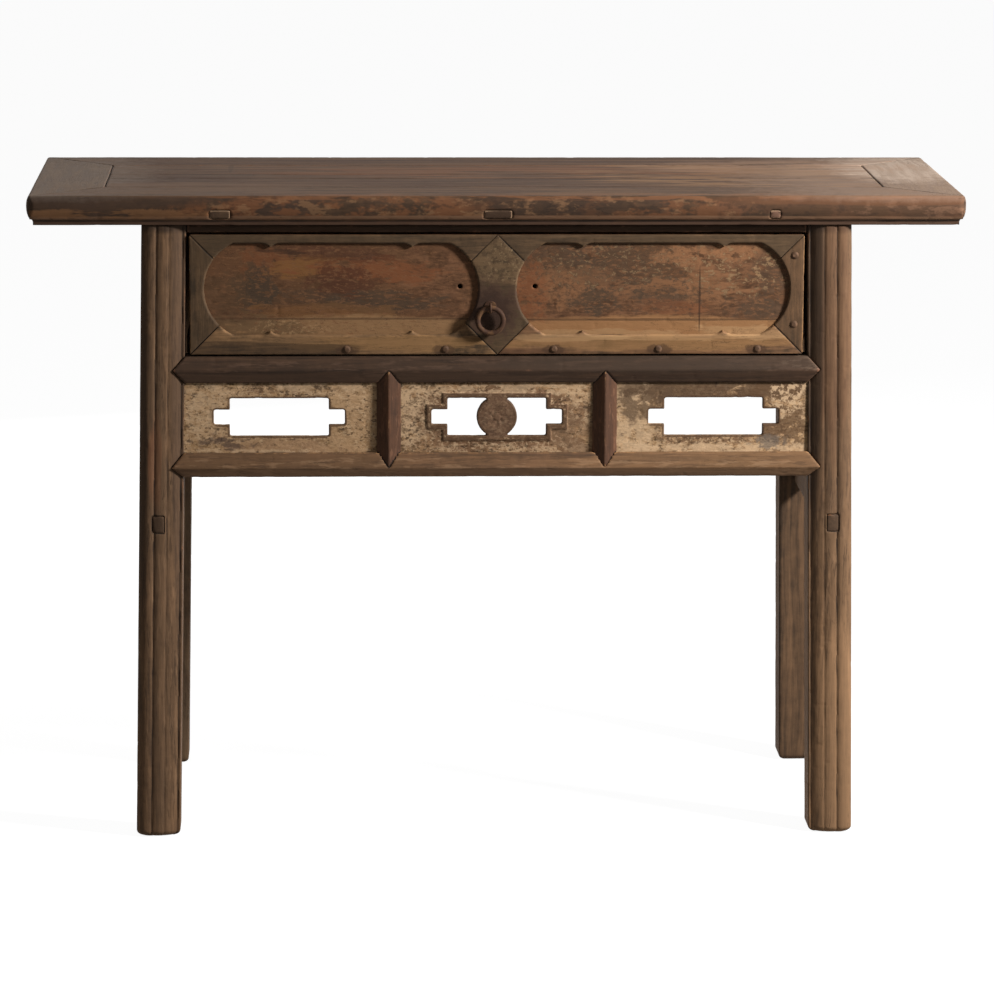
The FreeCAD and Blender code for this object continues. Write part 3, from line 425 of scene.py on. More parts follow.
class WornPiece:
    """A worn copy of one CAD solid, which it replaces."""

    # How fast a bend counts as a full arris or hollow, and the least arris that can gather dirt.
    ARRIS_GAIN, HOLLOW_GAIN, LEAST_ARRIS = 3, 9, 0.1

    def __init__(self, node: str, wear: Wear, carving: Optional[Carving] = None) -> None:
        """Shapes the piece.

        Args:
            node: The CAD node to copy.
            wear: How worn the piece is.
            carving: Moves points inward from their places and normals, where the piece is carved.
        """
        self.node = node
        self.wear = wear
        self.seed = seed_of(node)
        blank = self.through(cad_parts[node].data.copy(), "REMESH", mode="VOXEL", voxel_size=wear.cell * MM)
        self.sculpt(blank, carving)
        kept = self.through(blank, "DECIMATE", ratio=wear.keep)
        kept.polygons.foreach_set("use_smooth", [True] * len(kept.polygons))
        kept.name = node + "_worn"
        kept.materials.clear()
        self.object = bpy.data.objects.new(node + "_worn", kept)
        bpy.context.scene.collection.objects.link(self.object)

    @staticmethod
    def through(mesh: bpy.types.Mesh, kind: str, **settings: object) -> bpy.types.Mesh:
        """Puts a mesh through one modifier.

        Args:
            mesh: The mesh, which is used up.
            kind: The modifier's type.
            **settings: The modifier's own properties.

        Returns:
            The new mesh.
        """
        holder = bpy.data.objects.new("holder", mesh)
        bpy.context.scene.collection.objects.link(holder)
        modifier = holder.modifiers.new("shape", kind)
        for name, value in settings.items():
            setattr(modifier, name, value)
        seen = holder.evaluated_get(bpy.context.evaluated_depsgraph_get())
        made = bpy.data.meshes.new_from_object(seen)
        bpy.data.objects.remove(holder)
        bpy.data.meshes.remove(mesh)
        return made

    def seams(self, points: np.ndarray) -> np.ndarray:
        """How near each point is to another solid.

        Args:
            points: Places in metres.

        Returns:
            A number for each point, 1 where it touches another solid and 0 beyond the seam's width.
        """
        reach = self.wear.seam * MM
        low, high = points.min(axis=0) - reach, points.max(axis=0) + reach
        places, faces = [], []
        for name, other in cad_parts.items():
            corner, far_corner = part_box(name)
            if name != self.node and all(corner[i] < high[i] and far_corner[i] > low[i] for i in range(3)):
                faces += [[len(places) + i for i in face.vertices] for face in other.data.polygons]
                places += [point.co for point in other.data.vertices]
        if not faces:
            return np.zeros(len(points))
        tree = BVHTree.FromPolygons(places, faces)
        far = [tree.find_nearest(point, reach)[3] for point in points]
        return np.array([0.0 if gap is None else 1 - gap / reach for gap in far])

    def sculpt(self, mesh: bpy.types.Mesh, carving: Optional[Carving]) -> None:
        """Wears the mesh, and marks its arrises and hollows for the finish.

        Args:
            mesh: The mesh to change.
            carving: Moves points inward from their places and normals.
        """
        wear, count = self.wear, len(mesh.vertices)
        points = read(mesh.vertices, "co", 3)
        one, other = read(mesh.edges, "vertices", 2, np.int32).T
        near, far = np.concatenate([one, other]), np.concatenate([other, one])
        share = np.maximum(np.bincount(near, minlength=count), 1)

        def middle(values: np.ndarray) -> np.ndarray:
            """Mean of each point's neighbours."""
            return np.stack([np.bincount(near, row[far], count) / share for row in values.T], axis=1)

        def facing() -> np.ndarray:
            """The normal at each point."""
            return read(mesh.vertex_normals, "vector", 3)

        def bend(rounds: int) -> np.ndarray:
            """How far each point stands out of its neighbours.

            Args:
                rounds: How often the values are evened out.

            Returns:
                The distances, in cells.
            """
            values = ((points - middle(points)) * facing()).sum(axis=1, keepdims=True) / (wear.cell * MM)
            for _ in range(rounds):
                values = 0.4 * values + 0.6 * middle(values)
            return values[:, 0]

        def settle() -> None:
            """Hands the points back to the mesh, so that its normals follow."""
            mesh.vertices.foreach_set("co", points.ravel())
            mesh.update()

        arris = np.clip(bend(wear.spread) * self.ARRIS_GAIN * wear.spread, 0, 1)
        edge = arris > self.LEAST_ARRIS
        dirty = np.zeros(count)
        broken = 0.85 + 0.9 * lumps(points[edge], wear.seam_width, self.seed + 4)
        dirty[edge] = np.clip(self.seams(points[edge]) * broken, 0, 1)
        pull = (wear.rub + wear.swing * lumps(points, wear.rub_width, self.seed))[:, None]
        for _ in range(wear.passes):
            points = points + pull * (middle(points) - points)
        settle()
        if carving:
            points = carving(points, facing())
            settle()
        hollow = np.clip(-bend(1) * self.HOLLOW_GAIN, 0, 1)
        depth = wear.wave * (0.5 + 0.5 * lumps(points, wear.wave_width, self.seed + 1))
        depth += wear.chip * arris * np.clip(lumps(points, wear.chip_width, self.seed + 2) - wear.chip_level, 0, 1)
        depth += wear.dent * np.clip(lumps(points, wear.dent_width, self.seed + 3) - wear.dent_level, 0, 1) * 2
        points = points - facing() * (depth * MM)[:, None]
        settle()
        for name, values in (("arris", arris * (1 - dirty)), ("hollow", np.maximum(hollow, dirty))):
            mesh.attributes.new(name, "FLOAT", "POINT").data.foreach_set("value", values.astype(np.float32))

    def dress(self, material: bpy.types.Material, slot: Slot, body: Body) -> int:
        """Gives the piece its finish and its body, in place of the CAD node.

        Args:
            material: The piece's finish.
            slot: The record's material slot it comes from; not used.
            body: The body that it rides on.

        Returns:
            How many points the piece has.
        """
        self.object.data.materials.append(material)
        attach(self.object, body.value)
        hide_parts(self.node)
        return len(self.object.data.vertices)


@dataclass
class Joinery:
    """A group of pieces that one joiner would make together."""

    body: Body = Body.TABLE
    seen: list[str] = field(default_factory=list)

    def wear_down(self, node: str, finish: OldElm, grain: Grain, wear: Wear, slot: Slot,
                  carving: Optional[Carving] = None) -> None:
        """Replaces a CAD node by a worn piece with its finish.

        Args:
            node: The CAD node.
            finish: The wood's finish.
            grain: The way its fibres run.
            wear: How worn it is.
            slot: The record's material slot.
            carving: Moves points inward from their places and normals.
        """
        piece = WornPiece(node, wear, carving)
        points = piece.dress(finish.material(grain, piece.seed), slot, self.body)
        self.seen.append(node)
        log.info("%s: %d points", node, points)

    def dress_solid(self, node: str, finish: OldElm, grain: Grain) -> None:
        """Keeps a CAD node as it is and gives it a finish.

        Args:
            node: The CAD node.
            finish: The wood's finish.
            grain: The way its fibres run.
        """
        material = finish.material(grain, seed_of(node))
        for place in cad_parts[node].material_slots:
            place.material = material
        self.seen.append(node)
        log.info("%s: solid kept", node)


# The scrubbed top: grey where it is dusty, orange-brown along the arrises that hands and cloths rub.
TOP_ELM = OldElm("elm_planed_scrubbed", dark="#281910", light="#503827", aged="#402b1d", worn="#805030",
                 dusty="#6a4f39", dust=0.45, rub=0.5, figure=18, ring=14, stretch=26)
# Legs: lacquer rubbed thin, dark in the grooves of the reeds, with reddish streaks on the swells.
LEG_ELM = OldElm("elm_planed_lacquer_rubbed", dark="#443325", light="#7d5e43", aged="#614934", worn="#835433",
                 rub=0.8, soil=0.55, figure=14, ring=9, stretch=16)
# Rails: planed to a ridge, the ridge rubbed pinkish, the slopes smoky.
RAIL_ELM = OldElm("elm_planed_smoked", dark="#271b12", light="#4d3727", aged="#3b2a1e", worn="#6e4c37",
                  dusty="#3e2f22", dust=0.2, rub=0.6, figure=10, ring=8)
# The drawer's frame: dry wood, dark with dirt in its joints and tan where its arrises are rubbed.
FRAME_ELM = OldElm("elm_planed_dry", dark="#33271a", light="#5f4832", aged="#4a3927", worn="#8a6642", rub=0.55,
                   soil=0.4, figure=10, mottle=0.8, ring=8, stretch=10)
# Inside and behind: never lacquered, only planed and dusty.
INNER_ELM = OldElm("elm_planed_bare", dark="#453525", light="#765b43", aged="#5e4935", worn="#806449",
                   dusty="#847158", dust=0.3, rub=0.75, soil=0.45, figure=18, ring=14, relief=0.25)


@dataclass
class Tabletop(Joinery):
    """Three long boards in a mitred frame, on three dovetailed battens."""

    board_wear: Wear = Wear(cell=2.4, passes=1, wave=0.4, chip=1.4, chip_width=22, keep=0.28)
    rail_wear: Wear = Wear(cell=2.0, passes=3, wave=0.25, chip=1.8, chip_width=18, seam=0.7, keep=0.35)
    batten_wear: Wear = Wear(cell=2.0, passes=1, seam=0.2, keep=0.3)
    half_length: float = 625.0
    half_depth: float = 223.0
    top_level: float = 876.0
    edge_face: float = -226.0
    corner_round: float = 13.0
    arris_round: float = 6.0

    def ease_corners(self, points: np.ndarray, normals: np.ndarray) -> np.ndarray:
        """Rounds the top's outer corners in plan, and the upper arris of its ends.

        Args:
            points: Places in metres.
            normals: The normals there.

        Returns:
            The new places.
        """
        moved = points / MM
        for reach, round_by, limits in (((0, 1), self.corner_round, (self.half_length, self.half_depth)),
                                        ((0, 2), self.arris_round, (self.half_length, self.top_level))):
            beyond = [np.abs(moved[:, axis]) - limit + round_by for axis, limit in zip(reach, limits)]
            far = np.hypot(*beyond)
            outside = (beyond[0] > 0) & (beyond[1] > 0) & (far > round_by)
            shrink = np.where(outside, round_by / np.maximum(far, round_by), 1)
            for axis, past in zip(reach, beyond):
                moved[:, axis] -= np.sign(moved[:, axis]) * np.where(past > 0, past * (1 - shrink), 0)
        return moved * MM

    def build(self) -> None:
        """Makes and dresses the top."""
        flat = {"soft": 0.9, "drawn": False}
        # These patches don't stop at a joint, so they run across the top's pieces: greyer at the left end, darker in
        # front on the left, and lighter towards the right end.
        across = (
            Stain("#7a6b5f", (-585, -20, 876), (72, 215, 6), 0.6, **flat),
            Stain("#8a7464", (550, -40, 876), (130, 200, 6), 0.5, **flat),
            Stain("#b09c8b", (568, 90, 876), (58, 105, 6), 0.75, **flat),
            Stain("#5f4a3b", (-420, -150, 876), (150, 60, 6), 0.5, ragged=1.2),
            Stain("#a5836a", (400, 110, 876), (170, 60, 6), 0.35, ragged=1.2, fleck=20, run=6, cover=0.6))
        streaks = tuple(Stain("#20150e", (x, y, 876), (reach, 2.4, 8), 0.8, ragged=0.5)
                        for x, y, reach in ((-330, -120, 190), (-60, -84, 260), (180, -130, 210), (330, -60, 170),
                                            (-210, 20, 230), (120, 40, 260), (-420, 75, 120), (380, 92, 130),
                                            (-480, -30, 60), (-470, 8, 50), (-440, -62, 70)))
        boards = replace(TOP_ELM, dark="#25180f", light="#5a4230", worn="#30231a", rub=0.62, stains=(
            *streaks,
            Stain("#362115", (-420, -90, 876), (120, 90, 8), 0.65, ragged=0.7, fleck=22, run=5, cover=0.55),
            Stain("#331f12", (60, -60, 876), (330, 60, 8), 0.6, ragged=0.7, fleck=16, run=9, cover=0.45),
            Stain("#694229", (30, 60, 876), (330, 70, 8), 0.65, ragged=0.7, fleck=18, run=9, cover=0.55),
            Stain("#94704f", (360, 30, 876), (220, 130, 8), 0.6, ragged=0.7, fleck=20, run=9, cover=0.5),
            Stain("#271b13", (-360, 110, 876), (3, 62, 8), 0.7, ragged=0.5), *across))
        ends = replace(TOP_ELM, light="#5d4938", dusty="#75614f", dust=0.5, figure=12, mottle=0.7, stretch=9,
                       stains=across)
        bare, tan, light, soot = "#7a5034", "#71482d", "#8a6546", "#2d2017"
        spot = partial(front_patch, face=self.edge_face)
        chips = partial(spot, drawn=False, run=1.9)
        edge = replace(TOP_ELM, dark="#302318", light="#523b29", aged="#433126", worn="#7c5236", rub=0.8, mottle=0.8,
                       soil=0.6, stretch=10, stains=(
            chips(tan, -210, 858, 190, 17, 0.75, 0.5, fleck=24, cover=0.6),
            chips(tan, 200, 858, 110, 16, 0.6, 0.7, fleck=24, cover=0.5),
            chips("#644430", 480, 858, 170, 16, 0.55, 0.6, fleck=26, cover=0.45),
            spot("#4a3322", 500, 862, 150, 18, 0.6, 0.8, deep=8),
            spot("#38281c", 60, 858, 90, 20, 0.6, 0.6),
            chips(light, -170, 858, 210, 15, 0.5, 0.8, fleck=15, cover=0.3),
            chips(light, 180, 858, 150, 14, 0.5, 0.9, fleck=17, cover=0.3),
            chips("#7c5a44", 560, 858, 70, 12, 0.4, 0.9, fleck=16, cover=0.3),
            chips(soot, 20, 860, 600, 17, 0.5, 0.6, fleck=13, cover=0.3),
            spot(bare, 130, 874, 500, 3.2, 0.6, 0.5, fleck=9, run=7, cover=0.5, face=-224),
            spot(bare, 30, 847, 590, 2.2, 0.6, 0.5, fleck=8, run=9, cover=0.45),
            # The lighter band in the groove under the front edge is painted light, lifting its shade, and the darker
            # band on the lip below is painted shade.
            spot("#7a5b44", 0, 845.5, 640, 3.5, 0.8, 0.3, face=-222),
            spot("#432f22", 0, 839, 640, 3.2, 0.85, 0.3, face=-222), *across,
            spot("#845c3c", -515, 852, 115, 6, 0.6, 0.7, fleck=18, cover=0.7, drawn=False, run=4),
            spot("#3f2e23", -515, 870, 125, 11, 0.55, 0.7, face=-224, deep=8),
            spot("#6a442b", 470, 872, 170, 7, 0.45, 0.7, face=-224, deep=8)))
        for name in ("front", "middle", "back"):
            self.wear_down(f"top_board_{name}", boards, Grain.SIDEWAYS, self.board_wear, Slot.TOP)
        for name, finish in (("front", edge), ("back", replace(TOP_ELM, stains=across))):
            self.wear_down(f"top_{name}_rail", finish, Grain.SIDEWAYS, self.rail_wear, Slot.TOP, self.ease_corners)
        for name in SIDES:
            self.wear_down(f"top_{name}_end_rail", ends, Grain.DEEP, self.rail_wear, Slot.TOP, self.ease_corners)
        tenon = replace(INNER_ELM, dark="#3a2b1f", light="#5a4231", worn="#8a6e55", rub=0.45, soil=0.9, stains=(
            spot("#33241a", -210, 852, 30, 30, 0.7, deep=20), spot("#3d2b1f", 0, 852, 60, 30, 0.7, deep=20),
            spot("#7a5a49", 359, 852, 14, 14, 0.7, deep=20)))
        for name in ("left", "centre", "right"):
            self.wear_down(f"top_batten_{name}", tenon, Grain.DEEP, self.batten_wear, Slot.INNER)


@dataclass
class Legs(Joinery):
    """Four splayed legs, reeded in front, with a stretcher across each end."""

    front_wear: Wear = Wear(cell=1.5, passes=1, wave=0.15, chip=1.2, chip_width=20, keep=0.35)
    back_wear: Wear = Wear(cell=2.2, passes=2, wave=0.2, chip=1.2, chip_width=20, keep=0.35)
    stretcher_wear: Wear = replace(back_wear, seam=0.5)
    foot_round: float = 9.0
    foot_half: float = 20.0
    sole_band: float = 0.5
    height: float = 836.0
    inner_foot: float = 428.5
    spread: float = 14.5
    grooves: tuple[tuple[float, float, float], ...] = ((4.0, 0.8, 1.0), (22.0, 0.7, 1.2), (39.0, 0.9, 1.1))

    def round_foot(self, points: np.ndarray, normals: np.ndarray) -> np.ndarray:
        """Rounds the foot's lower arrises.

        Args:
            points: Places in metres.
            normals: The normals there.

        Returns:
            The new places.
        """
        radius = self.foot_round * MM
        sole = points[points[:, UP] < self.sole_band * MM]
        middle = (sole.max(axis=0) + sole.min(axis=0))[:2] / 2
        drop = np.clip(radius - points[:, UP], 0, radius)
        inset = radius - np.sqrt(radius ** 2 - drop ** 2)
        moved = points.copy()
        moved[:, :2] = middle + (points[:, :2] - middle) * (1 - inset / (self.foot_half * MM))[:, None]
        return moved

    def run_grooves(self, points: np.ndarray, normals: np.ndarray) -> np.ndarray:
        """Sharpens the grooves between the reeds of a front leg, and rounds its foot.

        Args:
            points: Places in metres.
            normals: The normals there.

        Returns:
            The new places.
        """
        out = np.abs(points[:, 0]) / MM - self.inner_foot + self.spread * points[:, UP] / MM / self.height
        cut = sum(depth * np.exp(-((out - place) / width) ** 2) for place, depth, width in self.grooves)
        cut = np.where((normals[:, 1] < FRONTWARD) & (points[:, UP] < self.height * MM), cut, 0)
        moved = points.copy()
        moved[:, 1] += cut * MM
        return self.round_foot(moved, normals)

    def build(self) -> None:
        """Makes and dresses the legs."""
        patch = partial(front_patch, face=-222.0)
        streaks = partial(patch, across=0, up=420, wide=500, tall=430, strength=0.5, ragged=1.2, deep=60, run=9)
        # The third patch in this tuple is a painted shadow: a dark band across the legs' upper ends, under the top.
        rubs_and_painted_shadow = (streaks("#33251a", fleck=6, cover=0.3), streaks("#8c6c50", fleck=5, cover=0.2),
                patch("#1f150f", 0, 836, 500, 13, 0.75, 0.3, deep=60))
        reddish = replace(LEG_ELM, stains=(
            *rubs_and_painted_shadow,
            patch("#7d4d32", -458, 520, 8, 60, 0.45, 0.8, face=-224),
            patch("#6f5640", -454, 330, 11, 330, 0.3, 0.6, face=-224),
            # The dark strips down this leg's outer and inner edges are painted shade.
            patch("#2c2017", -478, 640, 9, 260, 0.6, 0.4, face=-215),
            patch("#49372a", -424, 600, 10, 270, 0.5, 0.4, face=-217)))
        # The right front leg's copy of the leg wood is lighter, as painted light on the side the window lights; it is
        # darker on its upper half and lighter at the foot, and the dark strip down its inner edge is painted shade.
        right_leg_painted_light_and_shade = replace(LEG_ELM, dark="#4b3827", light="#8a684a", aged="#6f543c", stains=(
            *rubs_and_painted_shadow,
            patch("#6e492f", 452, 700, 20, 150, 0.4, 0.8), patch("#463426", 448, 720, 70, 240, 0.45, 0.8, deep=60),
            patch("#291d14", 422, 690, 14, 230, 0.7, 0.4, face=-217), patch("#9a7655", 470, 120, 30, 150, 0.45, 0.8)))
        # The back legs are lit and shaded copies of one wood: less light reaches the left one, yet the real leg looks
        # hardly darker than the right one, so the left one is given lighter colours, as painted light, and the right
        # one darker colours, as painted shade.
        pale_behind_painted_light = replace(LEG_ELM, dark="#5d4b3b", light="#9b7c5e", aged="#836a52")
        dark_behind_painted_shade = replace(LEG_ELM, dark="#3a2c20", light="#70543c", aged="#553f2e")
        for side, place, front, behind in (("left", -460, reddish, pale_behind_painted_light), ("right", 460, right_leg_painted_light_and_shade, dark_behind_painted_shade)):
            self.wear_down(f"leg_front_{side}", front, Grain.UPRIGHT, self.front_wear, Slot.LEG, self.run_grooves)
            self.wear_down(f"leg_back_{side}", behind, Grain.UPRIGHT, self.back_wear, Slot.LEG, self.round_foot)
            tenon = front_patch("#30231a", place, 432, 30, 30, 0.6, 0.5, face=-222, deep=14)
            self.wear_down(f"side_stretcher_{side}", replace(LEG_ELM, rub=0.9, stains=(tenon,)), Grain.DEEP,
                           self.stretcher_wear, Slot.RAIL)


@dataclass
class FrontFrame(Joinery):
    """The ridged rails and muntins that frame the drawer and the pierced panels."""

    wear: Wear = Wear(cell=1.7, passes=2, wave=0.3, chip=1.1, chip_width=16, keep=0.35)
    fine_cell: float = 1.4
    hidden_cell: float = 2.6

    def build(self) -> None:
        """Makes and dresses the front frame."""
        scuff = partial(front_patch, strength=0.35, ragged=1.1, run=6)
        smoky = replace(RAIL_ELM, stains=(
            scuff("#654c3c", 0, 645, 450, 16, fleck=7, cover=0.3, face=-212),
            scuff("#38291f", 150, 645, 260, 16, fleck=9, cover=0.5, face=-212),
            front_patch("#7d6653", 412, 650, 26, 8, 0.35, ragged=1.2, drawn=False, fleck=7, run=2.5),
            front_patch("#33271d", 240, 652, 210, 12, 0.55, face=-212),
            front_patch("#4d392b", -200, 628, 260, 10, 0.5, face=-212)))
        warm = replace(RAIL_ELM, dark="#463426", light="#7a593e", aged="#62472f", worn="#966e49", stains=(
            # The lighter patch on the right third is painted light and the darker one on the left third painted shade,
            # as the window's light falls off to the left.
            front_patch("#946e49", 330, 515, 180, 30, 0.2, 0.8),
            front_patch("#4c3928", -330, 515, 150, 30, 0.15, 0.8),
            scuff("#38281c", 0, 512, 450, 20, fleck=6, cover=0.3),
            scuff("#9c7a5b", 60, 505, 420, 16, fleck=7, cover=0.3),
            front_patch("#82634a", 0, 497, 450, 9, 0.6, ragged=0.7)))
        upright = replace(warm, dark="#37251a", light="#5c3d2a", aged="#4b3223", stains=(
            front_patch("#7a563f", 0, 575, 200, 60, 0.4, ragged=1.2, fleck=6, run=5, cover=0.3),))
        for node, finish, cell in (("drawer_rail", smoky, self.wear.cell), ("apron_rail", warm, self.wear.cell),
                                   ("top_rail_front", RAIL_ELM, self.hidden_cell)):
            self.wear_down(node, finish, Grain.SIDEWAYS, replace(self.wear, cell=cell), Slot.RAIL)
        fine = replace(self.wear, cell=self.fine_cell)
        for side in SIDES:
            self.wear_down(f"muntin_{side}", upright, Grain.UPRIGHT, fine, Slot.RAIL)


@dataclass
class PiercedPanels(Joinery):
    """Three panels with stepped openings, the middle one with a bead and a carved medallion."""

    wear: Wear = Wear(cell=1.1, passes=2, wave=0.2, chip=0.9, chip_width=9, dent=0.5, spread=7, keep=0.3)
    face: float = -205.0
    medallion_radius: float = 27.3
    boss_radius: float = 4.0
    boss_groove: tuple[float, float, float] = (1.5, 1.3, 0.8)
    petals: int = 7
    petal_depth: float = 0.6
    petal_twist: float = 0.22
    petal_rise: float = 3.0
    petal_reach: float = 17.0
    petal_fall: float = 9.0
    petal_trace: float = 0.15
    opening_level: float = 575.8

    def carve_medallion(self, points: np.ndarray, normals: np.ndarray) -> np.ndarray:
        """Cuts the medallion's whirl of petals round its boss.

        Args:
            points: Places in metres.
            normals: The normals there.

        Returns:
            The new places.
        """
        across, up = points[:, 0] / MM, points[:, UP] / MM - self.opening_level
        radius, angle = np.hypot(across, up), np.arctan2(up, across)
        whirl = 0.5 - 0.5 * np.cos(self.petals * angle + self.petal_twist * radius + lumps(points, width=9, seed=5))
        fade = np.clip((radius - self.boss_radius) / self.petal_rise, 0, 1)
        fade = fade * np.clip((self.petal_reach - radius) / self.petal_fall, self.petal_trace, 1)
        place, width, depth = self.boss_groove
        cut = whirl * fade + depth * np.exp(-((radius - self.boss_radius - place) / width) ** 2)
        cut = np.where((normals[:, 1] < FRONTWARD) & (radius < self.medallion_radius), cut, 0)
        moved = points.copy()
        moved[:, 1] += cut * self.petal_depth * MM
        return moved

    def build(self) -> None:
        """Makes and dresses the panels."""
        painted = OldElm("elm_sawn_lime_paint_worn", dark="#876846", light="#c6a27c", aged="#ad8963", worn="#4d3623",
                         grime="#2b1f17", rub=0.4, figure=9, mottle=1.1, ring=16, stretch=3, crack=0.006, relief=0.55)
        bare, soot, cream = "#74553c", "#422f1c", "#c8a884"

        def blot(colour: str, across: float, up: float, wide: float, tall: float, strength: float = 0.75,
                 fleck: float = 14, cover: float = 0.6, run: float = 1.3) -> Stain:
            """A broken patch on a panel's face."""
            return front_patch(colour, across, up, wide, tall, strength, 1.4, self.face, soft=0.4, drawn=False,
                               fleck=fleck, run=run, cover=cover)

        def whole_panel(middle: float, cover: float, pale: float) -> tuple[Stain, ...]:
            """The bare, sooty wood round one opening, and the flecks of soot and paint all over its panel.

            Args:
                middle: The opening's place across the table.
                cover: The share that is bare round the opening.
                pale: The share that still has paint.

            Returns:
                The stains, lowest first.
            """
            return tuple(blot(colour, middle, self.opening_level, *shape) for colour, *shape in (
                (bare, 84, 38, 0.75, 14, cover), (soot, 80, 34, 0.6, 6, 0.3), (cream, 170, 64, 0.6, 5, pale),
                (soot, 175, 66, 0.75, 4.2, 0.27), ("#33241a", 175, 66, 0.8, 9, 0.12, 2.2)))

        left = replace(painted, stains=(
            *whole_panel(-291, 0.36, 0.36), blot("#a07d5c", -291, 533, 70, 11, 0.75, 18, 0.85, 3),
            blot(cream, -345, 527, 90, 5, 0.7), blot("#4a3931", -365, 539, 40, 7, 0.75, 9, 0.55, 3),
            blot(soot, -291, 620, 130, 6, 0.7, 7, 0.45, 2), blot(cream, -392, 590, 34, 26, 0.5),
            blot("#ab8863", -208, 572, 20, 50, 0.6, 18, 0.8), blot(cream, -230, 616, 50, 7, 0.5)))
        right = replace(painted, light="#c4a079", stains=(
            *whole_panel(291, 0.6, 0.36), blot("#503b29", 300, 616, 140, 16, 0.85, 24, 0.95, 2),
            blot("#573f2a", 384, 588, 42, 44, 0.8, 12, 0.8), blot(soot, 230, 545, 50, 16, 0.6, 7, 0.4),
            blot(cream, 180, 560, 26, 60, 0.6, 14, 0.7), blot("#57422f", 200, 600, 34, 24, 0.8, 16, 0.7),
            blot(cream, 290, 531, 110, 7, 0.7, 14, 0.75, 2), blot(cream, 392, 606, 20, 26, 0.75, 6, 0.5),
            blot("#655a50", 366, 541, 20, 8, 0.7, 16, 0.8)))
        disc = partial(front_patch, across=0, up=576, face=-207.0)
        crumbs = partial(disc, wide=28, tall=28, ragged=0.6, soft=0.3, drawn=False, run=1.2)
        centre = replace(painted, dark="#8d6b4b", light="#b8946d", aged="#9f7b57", soil=0.55, stains=(
            disc("#5f4432", wide=98, tall=36, strength=0.8, ragged=0.7),
            blot(bare, 30, 538, 130, 12, 0.85, 18, 0.75, 2),
            blot(cream, -125, 592, 34, 44, 0.7, 12, 0.75), blot(cream, 128, 600, 26, 30, 0.5, 12, 0.5),
            blot(cream, 30, 532, 110, 6, 0.6, 7, 0.5, 2), blot(soot, 0, 620, 120, 6, 0.6, 8, 0.45, 2),
            blot(soot, -110, 560, 30, 40, 0.6, 8, 0.35), *whole_panel(0, 0.4, 0.34),
            blot(cream, 40, 614, 100, 6, 0.5, 12, 0.6, 3), blot("#7a5e45", 118, 555, 40, 30, 0.6, 20, 0.7),
            disc("#5f4634", wide=28.5, tall=28.5, strength=0.75, ragged=0.15, soft=0.12, drawn=False),
            crumbs("#4a3526", strength=0.6, fleck=8, cover=0.4), crumbs("#80634a", strength=0.5, fleck=6, cover=0.35)))
        for side, finish, carving in (("left", left, None), ("centre", centre, self.carve_medallion),
                                      ("right", right, None)):
            self.wear_down(f"fret_panel_{side}", finish, Grain.SIDEWAYS, self.wear, Slot.FRET, carving)


@dataclass
class Case(Joinery):
    """The back, the ends and what carries the drawer."""

    rail_wear: Wear = Wear(cell=2.6, passes=3, wave=0.4, keep=0.3)
    panel_wear: Wear = Wear(cell=3.0, passes=2, wave=0.6, keep=0.25)

    def build(self) -> None:
        """Makes and dresses the case."""
        outside = replace(INNER_ELM, dark="#3a2c21", light="#6a4f3b", aged="#543f2b")
        for name in ("upper", "lower"):
            self.wear_down(f"back_rail_{name}", outside, Grain.SIDEWAYS, self.rail_wear, Slot.INNER)
            for side in SIDES:
                self.wear_down(f"side_rail_{name}_{side}", outside, Grain.DEEP, self.rail_wear, Slot.INNER)
        self.wear_down("back_panel", outside, Grain.SIDEWAYS, self.panel_wear, Slot.INNER)
        for side in SIDES:
            self.wear_down(f"side_panel_{side}", outside, Grain.DEEP, self.panel_wear, Slot.INNER)
            for part in ("runner", "guide", "kicker"):
                self.dress_solid(f"drawer_{part}_{side}", INNER_ELM, Grain.DEEP)


